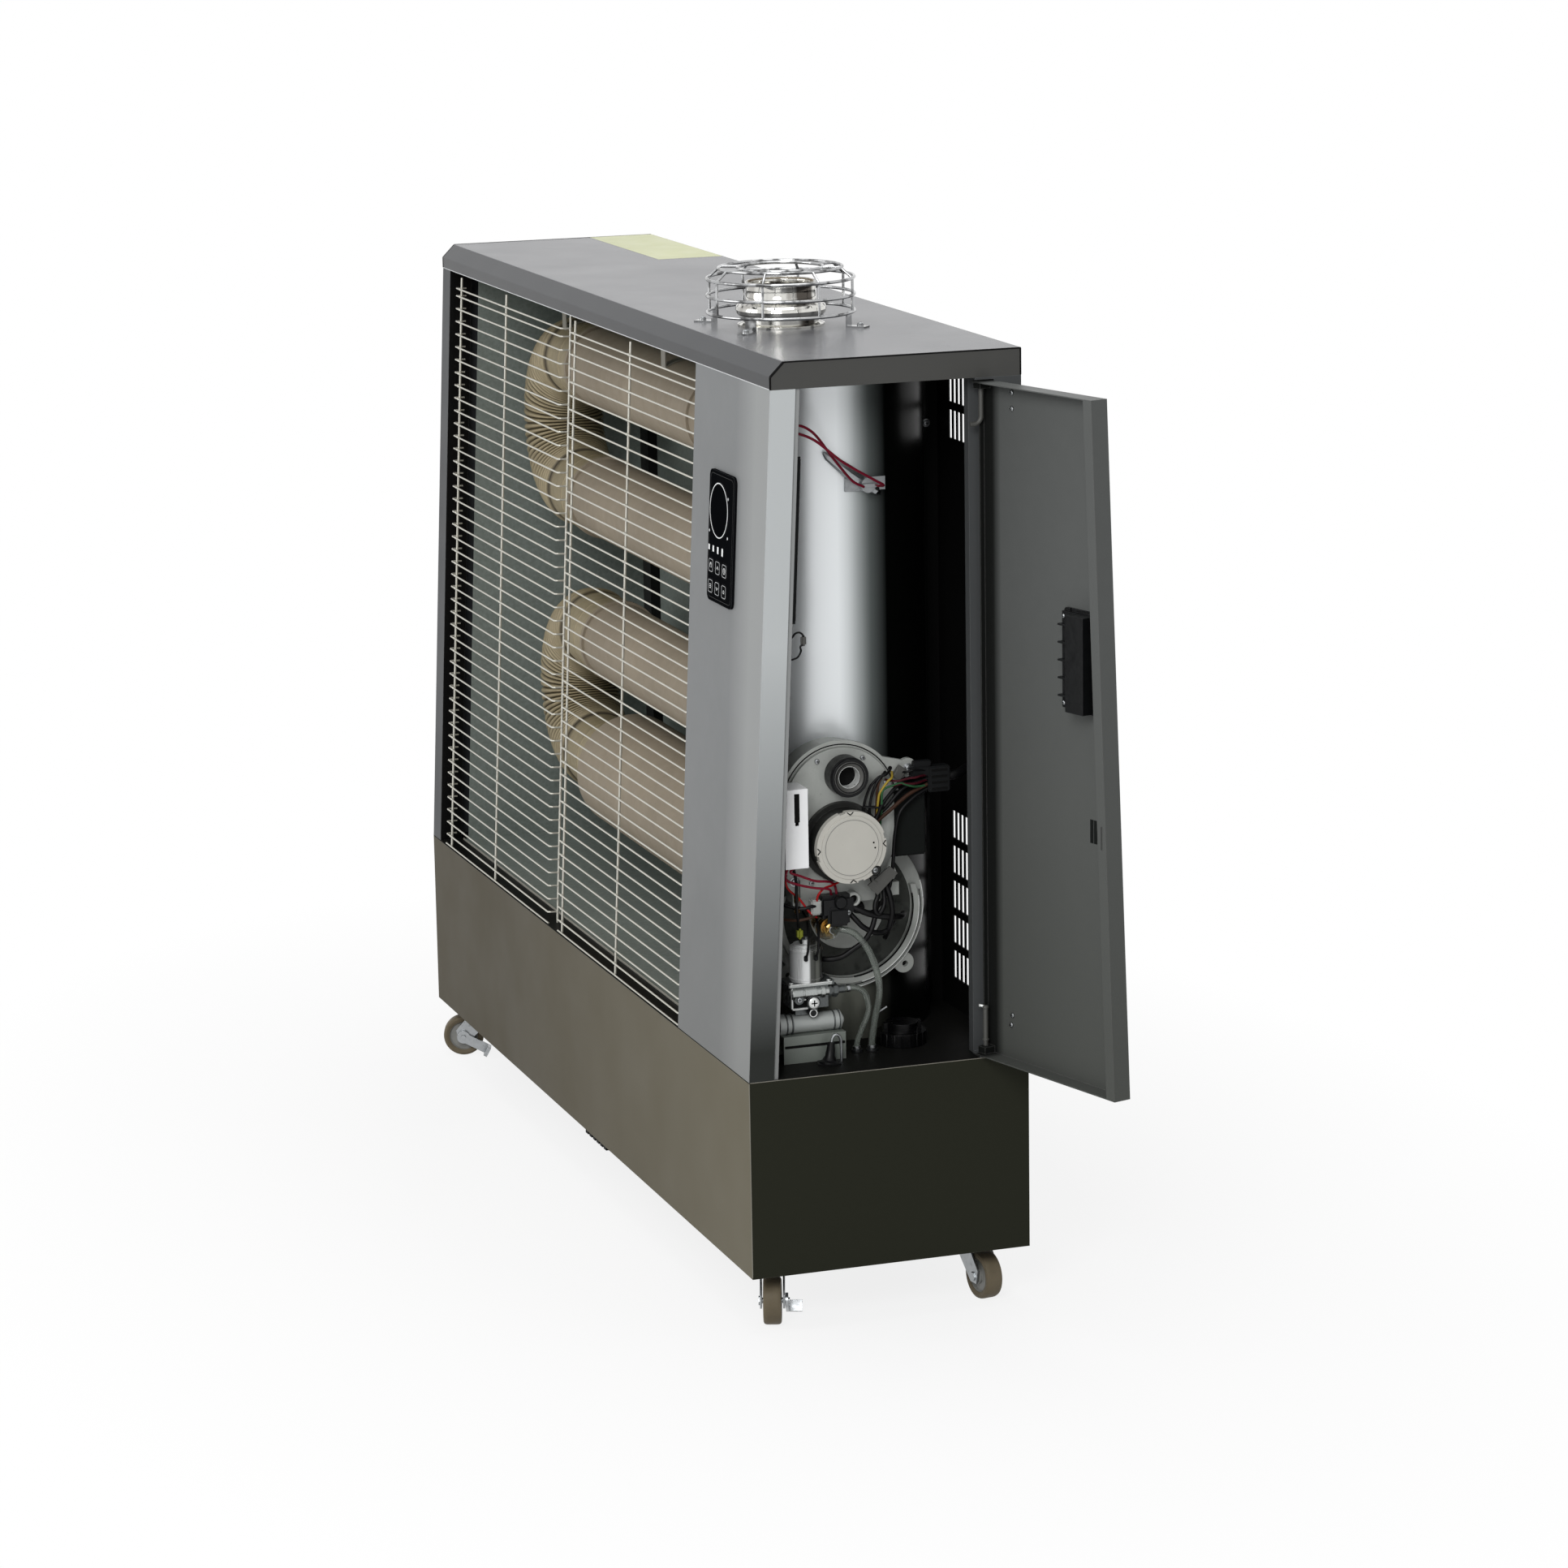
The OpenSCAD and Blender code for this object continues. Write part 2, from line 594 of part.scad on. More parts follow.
// Straps from the roof over the top tube, and two black channels on the reflector
strap_xs = [bend_x + 26, upper_tube_x + 319];
strap_w = 15;
strap_t = 1.5;
strap_y = tube_y - 27;
channel_xs = [-cabinet_w + 79, divider_x - 60];
channel_w = 30;
channel_d = 12;
module tube_hangers() {
  roof = cap_z - roof_drop;
  color("#8d8a80") at_frame() for (x = strap_xs) difference() {
    union() {
      slab([x - strap_w / 2, strap_y, tube1_z], [x + strap_w / 2, strap_y + strap_t, roof]);
      slab([x - strap_w / 2, strap_y, roof - strap_t], [x + strap_w / 2, strap_y + 16, roof]);
      intersection() {
        pipe_x(x - strap_w / 2, x + strap_w / 2, tube_y, tube1_z, tube_r + 0.3 + strap_t, strap_t);
        slab([x - strap_w, strap_y, tube1_z], [x + strap_w, tube_y + 27, tube1_z + 100]);
      }
    }
    along_x(x - strap_w, x + strap_w, tube_y, tube1_z, tube_r + 0.3);
  }
  color("#161616") at_frame() for (x = channel_xs) difference() {
    slab([x, reflector_y - channel_d, plinth_h], [x + channel_w, reflector_y, cap_z - roof_drop]);
    slab([x + strap_t, reflector_y - channel_d + strap_t, plinth_h - 1],
         [x + channel_w - strap_t, reflector_y + 1, cap_z]);
  }
}

// Flue
module flue_collar() {
  color("#cfd0cd") at_frame() translate([-flue_x, tube_y, cap_top]) rotate_extrude() polygon([
    [riser_r + 0.3, 0], [flue_r + 9, 0], [flue_r + 9, 2], [flue_r + 3, 4], [flue_r + 3, 9],
    [flue_r + 8, 11], [flue_r + 10.2, 13.5], [flue_r + 11, 17], [flue_r + 10.2, 20.5],
    [flue_r + 8, 23], [flue_r + 3, 25], [riser_r + 0.3, 25.5]]);
}
module wire_ring(r, z) {
  translate([0, 0, z]) rotate_extrude() translate([r, 0]) circle(d = guard_wire, $fn = 24);
}
guard_wire = 3.4;
// A rod between two rings; both ends stay inside the rings' wire
module guard_rod(a, b) {
  way = b - a;
  tilt = atan2(norm([way[0], way[1]]), way[2]);
  translate(a) rotate([0, 0, atan2(way[1], way[0])]) rotate([0, tilt, 0])
    translate([0, 0, 0.3]) cylinder(d = guard_wire - 0.5, h = norm(way) - 0.6, $fn = 24);
}
module flue_guard() {
  ring_z = [14.4, 32, 49.7];
  top_z = 60.5;
  top_r = flue_guard_r - 12.5;
  inner_r = flue_r + 8;
  color("#b8b8b4") at_frame() translate([-flue_x, tube_y, cap_top]) union() {
    for (z = ring_z) wire_ring(flue_guard_r, z);
    for (r = [inner_r, top_r]) wire_ring(r, top_z);
    for (a = [12:45:359]) rotate([0, 0, a]) {
      guard_rod([flue_guard_r, 0, ring_z[0]], [flue_guard_r, 0, ring_z[2]]);
      guard_rod([flue_guard_r, 0, ring_z[2]], [top_r, 0, top_z]);
      guard_rod([inner_r, 0, top_z], [top_r, 0, top_z]);
    }
    // Feet screwed to the cap
    for (a = [-43:90:300]) rotate([0, 0, a]) translate([flue_guard_r, 0, 0]) {
      translate([-1, -6, 0]) cube([22, 12, 1.6]);
      translate([-1, -6, 0]) cube([1.8, 12, 14.4]);
      translate([13, 0, 1.6]) cylinder(r = 3.6, h = 2.4, $fn = 24);
    }
  }
}

// Burner
module flange_lugs(n) {
  for (a = [0:n - 1]) rotate([0, 0, 45 + a * 360 / n]) translate([flange_r - 2, 0]) circle(11);
}
module burner_flange() {
  color("#b3b4b0") at_frame() translate([flange_x, tube_y, drum_z]) rotate([90, 0, 90]) difference() {
    union() {
      linear_extrude(flange_t) union() {
        circle(flange_r - 6);
        flange_lugs(4);
      }
      translate([0, 0, flange_t]) linear_extrude(8) difference() {
        circle(flange_r - 14);
        circle(flange_r - 20);
        translate([-flange_r, 22]) square([2 * flange_r, flange_r]);
      }
      // Blast tube inside the combustion drum
      translate([0, 0, -150]) cylinder(r = 40, h = 151);
    }
    translate([0, 0, -151]) cylinder(r = 38, h = 151 + 2);
    for (a = [0:3]) rotate([0, 0, 45 + a * 90]) translate([flange_r, 0, -1]) cylinder(r = 3.2, h = 20);
  }
}
nozzle_y = 118;
nozzle_z = plinth_h + 134;
module nozzle_holder() {
  color("#b09a63") at_frame() union() {
    along_x(housing_x, -80, nozzle_y, nozzle_z, 10);
    along_x(-80, -76, nozzle_y, nozzle_z, 8);
    along_x(-76, -72, nozzle_y, nozzle_z, 5);
  }
}
module scroll_outline(r) {
  union() {
    translate([fan_y, fan_z]) circle(r);
    translate([fan_y, fan_z + scroll_top]) circle(r);
    translate([fan_y - r, fan_z]) square([2 * r, scroll_top]);
    translate([fan_y - r + 14, fan_z - scroll_r - 4]) square([2 * r - 28, 30]);
  }
}
module housing_lug(y, z) { translate([y, z]) circle(10); }
module burner_housing() {
  x0 = housing_x;
  x1 = housing_x + housing_d;
  color("#a9aba7") at_frame() difference() {
    union() {
      yz(x0, x1) scroll_outline(scroll_r);
      yz(x1 - 6, x1) union() {
        scroll_outline(scroll_r + 4);
        // Lug plate that reaches to the right, and two small lugs
        polygon([[fan_y + 40, intake_z + 16], [fan_y + 76, intake_z + 7],
                 [fan_y + 76, intake_z - 7], [fan_y + 46, intake_z - 26]]);
        housing_lug(fan_y + 76, intake_z);
        housing_lug(fan_y - scroll_r - 2, fan_z + 44);
        housing_lug(fan_y - 50, fan_z - 40);
        housing_lug(fan_y + 52, fan_z - 40);
      }
      yz(x1, x1 + cover_t) scroll_outline(scroll_r - 3);
      // Neck on the mounting flange
      slab([x0, tube_y - 45, drum_z + 20], [x1, tube_y + 45, fan_z - 50]);
    }
    along_x(x0 + housing_wall, x1, fan_y, fan_z, fan_r + 5);
    along_x(x1 - 1, x1 + 10, fan_y, fan_z, shaft_r + 1);
    along_x(x1 - 10, x1 + 10, intake_y, intake_z, intake_r - 6);
    slab([x1 - 10, fan_y - 12, fan_z + 40], [x1 - 1, fan_y + 12, intake_z]);
    slab([x0 + housing_wall, tube_y - 22, drum_z + 26], [x1 - 6, tube_y + 22, fan_z - 30]);
    slab([x0 - 1, tube_y - 18, drum_z + 22], [x0 + housing_wall + 1, tube_y + 18, drum_z + 36]);
    for (p = [[fan_y + 76, intake_z], [fan_y - 50, fan_z - 40], [fan_y + 52, fan_z - 40]])
      along_x(x1 - 10, x1 + 1, p[0], p[1], 2.6);
  }
}
module fan_wheel() {
  x0 = housing_x + housing_wall + 3;
  color("#8d8f90") at_frame() union() {
    along_x(x0, x0 + 2, fan_y, fan_z, fan_r);
    along_x(x0, x0 + 14, fan_y, fan_z, 9);
    along_x(x0, housing_front + motor_l - 5, fan_y, fan_z, shaft_r);
    for (k = [0:fan_blades - 1]) translate([x0 + 1, fan_y, fan_z]) rotate([k * 360 / fan_blades, 0, 0])
      translate([0, fan_r - 16, 0]) rotate([30, 0, 0]) cube([24, 14, 1.5]);
  }
}
module burner_motor() {
  color("#1b1c1b") at_frame() difference() {
    union() {
      along_x(housing_front, housing_front + 6, fan_y, fan_z, motor_r + 4);
      along_x(housing_front + 6, housing_front + motor_l, fan_y, fan_z, motor_r - 1);
    }
    along_x(housing_front - 1, housing_front + motor_l - 4, fan_y, fan_z, shaft_r + run_gap);
  }
}
module motor_end_cap() {
  x0 = housing_front + motor_l;
  color("#b9b8b1") at_frame() difference() {
    union() {
      along_x(x0, x0 + end_cap_l - 1.2, fan_y, fan_z, motor_r);
      along_x(x0 + end_cap_l - 1.2, x0 + end_cap_l, fan_y, fan_z, motor_r - 5);
    }
    // Crimp notches, and the larger notch for the lead
    for (a = [15:90:345]) translate([x0 - 1, fan_y, fan_z]) rotate([a, 0, 0])
      translate([0, motor_r - 1.5, -3]) cube([20, 4, 6]);
    along_x(x0 - 1, x0 + 20, fan_y + 27, fan_z - 27, 5.5);
  }
}
module intake_collar() {
  color("#1a1b1b") at_frame() translate([housing_front, intake_y, intake_z]) rotate([0, 90, 0]) difference() {
    union() {
      cylinder(r = intake_r, h = 18);
      translate([0, 0, 18]) cylinder(r = intake_r - 1.5, h = 3);
    }
    translate([0, 0, -1]) cylinder(r = intake_r - 6, h = 30);
  }
}
// White cover box of the igniter, with its slot
module igniter_box() {
  lo = [housing_front, fan_y - motor_r - 34, fan_z - 17];
  hi = [housing_front + 34, fan_y - motor_r - 9, fan_z + 66];
  color("#eef0f4") at_frame() difference() {
    slab(lo, hi);
    slab(lo + [1, 1, 1], hi - [1, 1, 1]);
    slab([hi[0] - 4, hi[1] - 14, hi[2] - 38], [hi[0] + 2, hi[1] - 10, hi[2] - 8]);
  }
}

// Fuel pump group: body, solenoid above it and filter below it
module fuel_pump() {
  color("#a5a7a8") at_frame() union() {
    // Bracket from the burner flange to the pump
    slab([housing_x, pump_y - 10, pump_z - 8], [pump_x - 14, pump_y + 10, pump_z - 5]);
    slab([housing_x, pump_y - 10, pump_z - 20], [housing_x + 3, pump_y + 10, pump_z - 5]);
    slab([pump_x - 14, pump_y - 26, pump_z - 18], [pump_x + 12, pump_y + 14, pump_z + 6]);
    slab([pump_x - 16, pump_y - 30, pump_z + 6], [pump_x + 14, pump_y + 20, pump_z + 10]);
    translate([pump_x, pump_y + 14, pump_z - 4]) rotate([-90, 0, 0]) cylinder(r = 6, h = 14);
    translate([pump_x, pump_y + 28, pump_z - 4]) rotate([-90, 0, 0]) cylinder(r = 4, h = 8);
    along_x(pump_x + 12, pump_x + 18, pump_y - 4, pump_z - 11, 7);
    along_x(pump_x + 12, pump_x + 16, pump_y - 19, pump_z - 7, 5);
    slab([pump_x - 6, pump_y - 20, pump_z - 26], [pump_x + 6, pump_y + 4, pump_z - 18]);
  }
}
module pump_solenoid() {
  color("#c4c6c8") at_frame() translate([pump_x, pump_y - 6, pump_z + 10]) union() {
    cylinder(r = 17, h = 36);
    translate([0, 0, 36]) cylinder(r = 13, h = 3);
    translate([0, 0, 39]) cylinder(r = 5, h = 4);
  }
}
module fuel_filter() {
  z = pump_z - 36;
  color("#aeb0b1") at_frame() union() {
    translate([pump_x, pump_y - 32, z]) rotate([-90, 0, 0]) cylinder(r = 10, h = 62);
    translate([pump_x, pump_y - 38, z]) rotate([-90, 0, 0]) cylinder(r = 11, h = 7);
    // Steel stand on the deck
    difference() {
      slab([pump_x - 26, pump_y - 36, plinth_h], [pump_x + 14, pump_y + 32, z - 10]);
      slab([pump_x - 24, pump_y - 37, plinth_h - 1], [pump_x + 12, pump_y + 33, z - 12]);
    }
  }
}
// Hand-set routes, in the cabinet frame: x, depth, height above the plinth
pump_hose = [[-66, 128.1, 71], [-66, 140, 71], [-66.5, 151, 63], [-68, 155, 44], [-72, 148, 22],
  [-74, 144, 8], [-74, 144, 0.1]];
nozzle_hose = [[-71.9, 118, 134], [-66, 118, 134.5], [-60, 124, 136], [-55, 138, 130], [-54, 154, 106],
  [-58, 164, 70], [-68, 162, 34], [-72, 160, 10], [-72, 160, 0.1]];
function lifted(p) = [for (q = p) [q[0], q[1], q[2] + plinth_h]];
module hose(p, r) {
  path = route(lifted(p), 5);
  swept(path, [for (q = path) r], [0.3, -0.2, 1], 8);
}
module fuel_hoses() {
  color("#c9cdc6") at_frame() {
    hose(pump_hose, 3);
    hose(nozzle_hose, 3.5);
  }
}

// Overheat thermostat on the heat shield
thermo_y = 176;
thermo_z = cap_z - 119;
thermo_tip = divider_x + shield_r + 16;
module thermostat() {
  x0 = divider_x + shield_r + 0.1;
  color("#b7b9bb") at_frame() union() {
    slab([x0, thermo_y - 22, thermo_z - 7], [x0 + 2.6, thermo_y + 22, thermo_z + 7]);
    along_x(x0 + 2.6, x0 + 13, thermo_y, thermo_z, 8);
    slab([x0 + 13, thermo_y - 9, thermo_z - 2], [thermo_tip, thermo_y + 9, thermo_z + 2]);
  }
}
// Wires to the thermostat, counted from the top cap down
thermo_wires = [
  [[-101.9, 168, -119], [-97, 167, -118.5], [-90, 152, -110], [-70, 126, -84], [-48, 96, -52], [-36, 72, -42],
   [-33, 58, -54], [-33, 56, -64], [-33, 56, -73]],
  [[-101.9, 184, -119], [-98, 184, -119], [-88, 186, -117], [-78, 170, -108], [-60, 132, -86], [-44, 94, -58],
   [-40, 66, -50], [-40, 56, -64], [-40, 56, -73]]];
// Motor, igniter and flame sensor leads to the connector block, and the block's cable to the back
burner_wires = [
  [[-59.5, 158.7, 248.6], [-59.5, 162.1, 250.8], [-62, 176, 261], [-64, 196, 279], [-66, 222, 286]],
  [[-55, 159.7, 246.9], [-55, 163.2, 248.9], [-58, 178, 258], [-62, 200, 272], [-66, 222, 280]],
  [[-50.5, 157.2, 250.8], [-50.5, 160.4, 253.3], [-58, 172, 268], [-63, 194, 286], [-66, 222, 293]],
  [[-91.9, 156, 148], [-84, 156, 148], [-66, 162, 151], [-60, 176, 174], [-60, 181, 200], [-61, 184, 230],
   [-61, 190, 254], [-63, 206, 268], [-66, 222, 275]],
  [[-69, 246.1, 286], [-70, 258, 288], [-82, 276, 292], [-92, 290, 294], [-92, 301.4, 294]]];
wire_radii = [2, 2, 2, 2, 5];
block_lo = [-76, 222.1, 272];
block_hi = [-61, 246, 299];
module lead(p, r) {
  path = route(p, 3);
  swept(path, [for (q = path) r], [0.3, 0.9, 0.2], 6);
}
module wiring_harness() {
  color("#a2201c") at_frame() union() {
    for (p = thermo_wires) lead([for (q = p) q + [0, 0, cap_z]], 1.4);
    for (k = [0:4]) lead(lifted(burner_wires[k]), wire_radii[k]);
    // Connector block, and the flame sensor on the burner flange
    slab(block_lo + [0, 0, plinth_h], block_hi + [0, 0, plinth_h]);
    along_x(housing_x + 0.1, -92, 156, plinth_h + 148, 7);
  }
}

// Controls
lip_y = return_d + joggle_w + 0.2;
module control_box() {
  color("#1a1a1a") at_frame() on_front(fascia_x, fascia_z + box_drop) difference() {
    union() {
      slab([-box_left, sheet, -box_half_h], [-fascia_x - door_depth - 2, box_d, box_half_h]);
      // Lip behind the column's stepped flange
      slab([-fascia_x - door_depth - 2, lip_y, -box_half_h], [-fascia_x - 8, lip_y + 0.8, box_half_h]);
    }
    slab([-fascia_w / 2 + fascia_side, sheet - 1, -box_drop - fascia_h / 2 + fascia_end],
         [fascia_w / 2 - fascia_side, 3.6, -box_drop + fascia_h / 2 - fascia_end]);
  }
}
key_row_z = -31.5;
function key_x(i) = (i % 3 - 1) * key_pitch - 6;
function key_z(i) = key_row_z - floor(i / 3) * key_pitch;
module control_fascia() {
  color("#141516") at_frame() on_front(fascia_x, fascia_z) difference() {
    union() {
      xz(-fascia_t, 0) rounded(fascia_w, fascia_h, 8);
      // Raised rim of the round display window
      translate([-6, -fascia_t, 28]) rotate([90, 0, 0]) difference() {
        cylinder(d = display_d + 4, h = 0.8);
        translate([0, 0, -1]) cylinder(d = display_d, h = 3);
      }
    }
    for (i = [0:5]) translate([key_x(i), 0, key_z(i)]) xz(-fascia_t - 1, 1)
      rounded(key_size + 0.6, key_size + 0.6, 3.3);
  }
}
module key(i) {
  color("#232425") at_frame() on_front(fascia_x, fascia_z) translate([key_x(i), 0, key_z(i)]) union() {
    xz(-fascia_t - 0.6, 0) rounded(key_size, key_size, 3);
    xz(0, 3.6 - key_travel - 0.2) rounded(key_size - 4, key_size - 4, 2);
  }
}
module key_1() { key(0); }
module key_2() { key(1); }
module key_3() { key(2); }
module key_4() { key(3); }
module key_5() { key(4); }
module key_6() { key(5); }

// Service door, built closed and turned about its hinge pins
module door_swing() {
  translate([pin_x, pin_y, 0]) rotate([0, 0, door_open]) translate([-pin_x, -pin_y, 0]) children();
}
module door_outline(t) {
  polygon([
    [door_back_y - t, door_z0 + t], [front_y(door_z0 + t) + door_free_off + t, door_z0 + t],
    [front_y(door_z1 - t) + door_free_off + t, door_z1 - t], [door_back_y - t, door_z1 - t]]);
}
latch_y = 50;
latch_z = plinth_h + 439;
latch_w = 50;
latch_l = 98;
latch_d = 22;
latch_shallow = 8;
pocket_w = 28;
latch_rim = 5;
lug_h = 8;
module service_door() {
  free_y = front_y(plinth_h) + door_free_off;
  color("#595b5a") at_frame() door_swing() difference() {
    union() {
      difference() {
        yz(-door_depth, 0) door_outline(0);
        yz(-door_depth - 1, -door_sheet) door_outline(door_sheet);
        // The hinge side has only a shallow wall, which clears the pin's bend
        slab([-door_depth - 1, door_back_y - 3, door_z0 - 1], [pin_x + 0.3, door_back_y + 1, door_z1 + 1]);
      }
      // Return flange behind the free edge
      intersection() {
        yz(-door_depth, -door_depth + door_sheet) door_outline(0);
        lean(-door_depth - 1, 0, door_free_off, door_free_off + door_return, plinth_h - 5, cap_z + 5);
      }
      // Hinge lugs
      slab([pin_x - 7, pin_y - 8, door_z1 - lug_h],
           [-door_sheet / 2, door_back_y - door_sheet / 2, door_z1 - door_sheet / 2]);
      slab([pin_x - 7, pin_y - 8, door_z0 + door_sheet / 2],
           [-door_sheet / 2, door_back_y - door_sheet / 2, door_z0 + lug_h]);
    }
    for (z = [door_z0 - 1, door_z1 - lug_h - 1])
      translate([pin_x, pin_y, z]) cylinder(d = hinge_pin_d + 2 * run_gap, h = lug_h + 2);
    // Opening for the recessed pull
    translate([0, latch_centre_y, latch_z]) xy_hole();
    // Catch slot in the return flange
    slab([-door_depth - 1, front_y(plinth_h + 270) + door_free_off + 5, plinth_h + 258],
         [-door_depth + 2, front_y(plinth_h + 270) + door_free_off + 8, plinth_h + 282]);
  }
}
latch_centre_y = front_y(latch_z) + door_free_off + latch_y;
module xy_hole() { yz(-5, 5) rounded(latch_w - 6, latch_l - 6, 4); }
// Moulded housing of the recessed pull: a finger pocket beside a shallow part with ribs on its back
paddle_y = latch_w / 2 - 9;
module latch_housing() {
  y0 = -latch_w / 2;
  y1 = latch_w / 2;
  z1 = latch_l / 2;
  color("#151617") at_frame() door_swing() translate([0, latch_centre_y, latch_z]) difference() {
    union() {
      yz(-door_sheet - 2.5, -door_sheet) rounded(latch_w + 4, latch_l + 6, 4);
      slab([-latch_d, y0, -z1], [-door_sheet - 2, y0 + pocket_w, z1]);
      slab([-latch_shallow, y0 + pocket_w, -z1], [-door_sheet - 2, y1, z1]);
      yz(-door_sheet - 1, 1.2) rounded(latch_w - 6.4, latch_l - 6.4, 4);
      yz(0, 1.2) rounded(latch_w + 2, latch_l + 2, 5);
      for (z = [-36, -18, 0, 18, 36])
        slab([-latch_shallow - 6, y0 + pocket_w, z - 0.9], [-latch_shallow + 1, y1, z + 0.9]);
    }
    slab([-latch_d + 2, y0 + latch_rim, -z1 + latch_rim], [3, y0 + pocket_w - 2, z1 - latch_rim]);
    slab([-latch_shallow + 1.5, y0 + latch_rim, -z1 + latch_rim], [3, y1 - latch_rim, z1 - latch_rim]);
    translate([-3, paddle_y, -z1 - 5]) cylinder(r = 1.5, h = latch_l + 10);
  }
}
// Sprung paddle on a pin along the shallow side, which reaches over the finger pocket
module latch_paddle() {
  reach = 25;
  half = latch_l / 2 - latch_rim - 0.6;
  color("#1d1e1f") at_frame() door_swing() translate([-3, latch_centre_y + paddle_y, latch_z]) union() {
    translate([0, 0, -latch_l / 2 + 2]) cylinder(r = 1.5 - run_gap, h = latch_l - 4);
    slab([-1.2, -reach, -half], [1.2, 0, half]);
    slab([-5, -reach, -half], [1.2, -reach + 3, half]);
  }
}
// Hinge pins; the top one ends in a bent finger grip
pin_bend = 8;
module hinge_pins() {
  color("#8a8c8d") at_frame() {
    translate([pin_x, pin_y, cap_z - 48]) union() {
      translate([0, 0, pin_bend]) cylinder(d = hinge_pin_d, h = 47.5 - pin_bend);
      translate([0, -pin_bend, pin_bend]) rotate([90, 0, 90]) rotate([0, 0, -90]) rotate_extrude(angle = 90)
        translate([pin_bend, 0]) circle(d = hinge_pin_d);
      translate([0, -pin_bend, 0]) rotate([90, 0, 0]) cylinder(d = hinge_pin_d, h = 4);
    }
    translate([pin_x, pin_y, plinth_h + 0.5]) cylinder(d = hinge_pin_d, h = 16);
  }
}

// Castors
module castor_plates() {
  color("#b5b7b9") at_frame() for (i = [0:3]) translate([castor_x(i), castor_y(i), 0]) union() {
    difference() {
      translate([-25, -22, -plate_t]) cube([50, 44, plate_t]);
      for (sx = [-1, 1], sy = [-1, 1]) translate([sx * 19, sy * 16, -5]) cylinder(r = 2.8, h = 10);
    }
    for (sx = [-1, 1], sy = [-1, 1]) translate([sx * 19, sy * 16, -plate_t - 3]) {
      translate([0, 0, 1]) cylinder(r = 2.7, h = plate_t + 2);
      cylinder(r = 4, h = 3, $fn = 6);
    }
    translate([0, 0, fork_top - fork_t - 2]) cylinder(r = kingpin_r, h = -fork_top + fork_t + 2);
    translate([0, 0, fork_top - fork_t - 2.2]) cylinder(r = kingpin_r + 2.5, h = 1.9);
  }
}
module at_castor(i) {
  at_frame() translate([castor_x(i), castor_y(i), 0]) rotate([0, 0, castor_yaw[i]]) children();
}
leg_y = wheel_w / 2 + leg_gap;
module castor_fork(i) {
  color("#b9bbbd") at_castor(i) difference() {
    union() {
      translate([0, 0, fork_top - fork_t]) cylinder(r = 16, h = fork_t);
      translate([0, 0, fork_top]) cylinder(r = 19, h = -plate_t - 0.4 - fork_top);
      translate([-6, -leg_y - fork_t, fork_top - fork_t]) cube([24, 2 * (leg_y + fork_t), fork_t]);
      for (s = [0, 1]) mirror([0, s, 0]) xz(leg_y, leg_y + fork_t)
        polygon([
          [-12, fork_top], [18, fork_top], [castor_trail + 9, axle_z + 8], [castor_trail + 6, axle_z - 7],
          [castor_trail - 6, axle_z - 7], [-4, fork_top - 12]]);
      translate([castor_trail, -leg_y - fork_t - 1.5, axle_z]) rotate([-90, 0, 0])
        cylinder(r = 5, h = 1.5, $fn = 6);
      translate([castor_trail, -leg_y - fork_t, axle_z]) rotate([-90, 0, 0])
        cylinder(r = axle_r, h = 2 * (leg_y + fork_t) + (i < 2 ? 5 : 1));
    }
    translate([0, 0, fork_top - 10]) cylinder(r = kingpin_r + run_gap, h = 30);
  }
}
module castor_wheel(i) {
  color("#77705f") at_castor(i) translate([castor_trail, wheel_w / 2, axle_z]) rotate([90, 0, 0])
  difference() {
    rotate_extrude($fn = 96) polygon([
      [axle_r + run_gap, 0], [9, 0], [9, 3], [18, 3], [18, 1],
      [wheel_d / 2 - tread_round, 0], [wheel_d / 2, tread_round],
      [wheel_d / 2, wheel_w - tread_round], [wheel_d / 2 - tread_round, wheel_w],
      [18, wheel_w - 1], [18, wheel_w - 3], [9, wheel_w - 3], [9, wheel_w], [axle_r + run_gap, wheel_w]]);
    translate([0, 0, -1]) cylinder(r = axle_r + run_gap, h = wheel_w + 2);
  }
}
// Foot lever of the wheel brake, beside the fork on the end of the axle
module brake_lever(i) {
  y0 = leg_y + fork_t + 0.4;
  color("#9fa2a3") at_castor(i) translate([castor_trail, 0, axle_z]) rotate([0, -28, 0]) difference() {
    union() {
      xz(y0, y0 + 3) union() {
        circle(8);
        translate([-32, -6]) square([32, 12]);
      }
      translate([-36, y0, -6]) cube([4.5, 17, 12]);
    }
    translate([0, y0 - 1, 0]) rotate([-90, 0, 0]) cylinder(r = axle_r + run_gap, h = 10);
  }
}
module castor_fork_fl() { castor_fork(0); }
module castor_fork_fr() { castor_fork(1); }
module castor_fork_rl() { castor_fork(2); }
module castor_fork_rr() { castor_fork(3); }
module castor_wheel_fl() { castor_wheel(0); }
module castor_wheel_fr() { castor_wheel(1); }
module castor_wheel_rl() { castor_wheel(2); }
module castor_wheel_rr() { castor_wheel(3); }
module brake_lever_fl() { brake_lever(0); }
module brake_lever_fr() { brake_lever(1); }

plinth_shell();
plinth_floor();
fuel_tank();
left_end_panel();
back_panel();
control_column();
rear_post();
bay_divider();
heat_shield();
top_cap();
reflector();
left_guard();
right_guard();
upper_tube();
second_tube();
third_tube();
combustion_drum();
upper_bellows();
lower_bellows();
tube_hangers();
flue_collar();
flue_guard();
burner_flange();
burner_housing();
fan_wheel();
burner_motor();
nozzle_holder();
motor_end_cap();
intake_collar();
igniter_box();
fuel_pump();
pump_solenoid();
fuel_filter();
fuel_hoses();
filler_cap();
thermostat();
wiring_harness();
control_box();
control_fascia();
key_1();
key_2();
key_3();
key_4();
key_5();
key_6();
service_door();
hinge_pins();
latch_housing();
latch_paddle();
castor_plates();
castor_fork_fl();
castor_fork_fr();
castor_fork_rl();
castor_fork_rr();
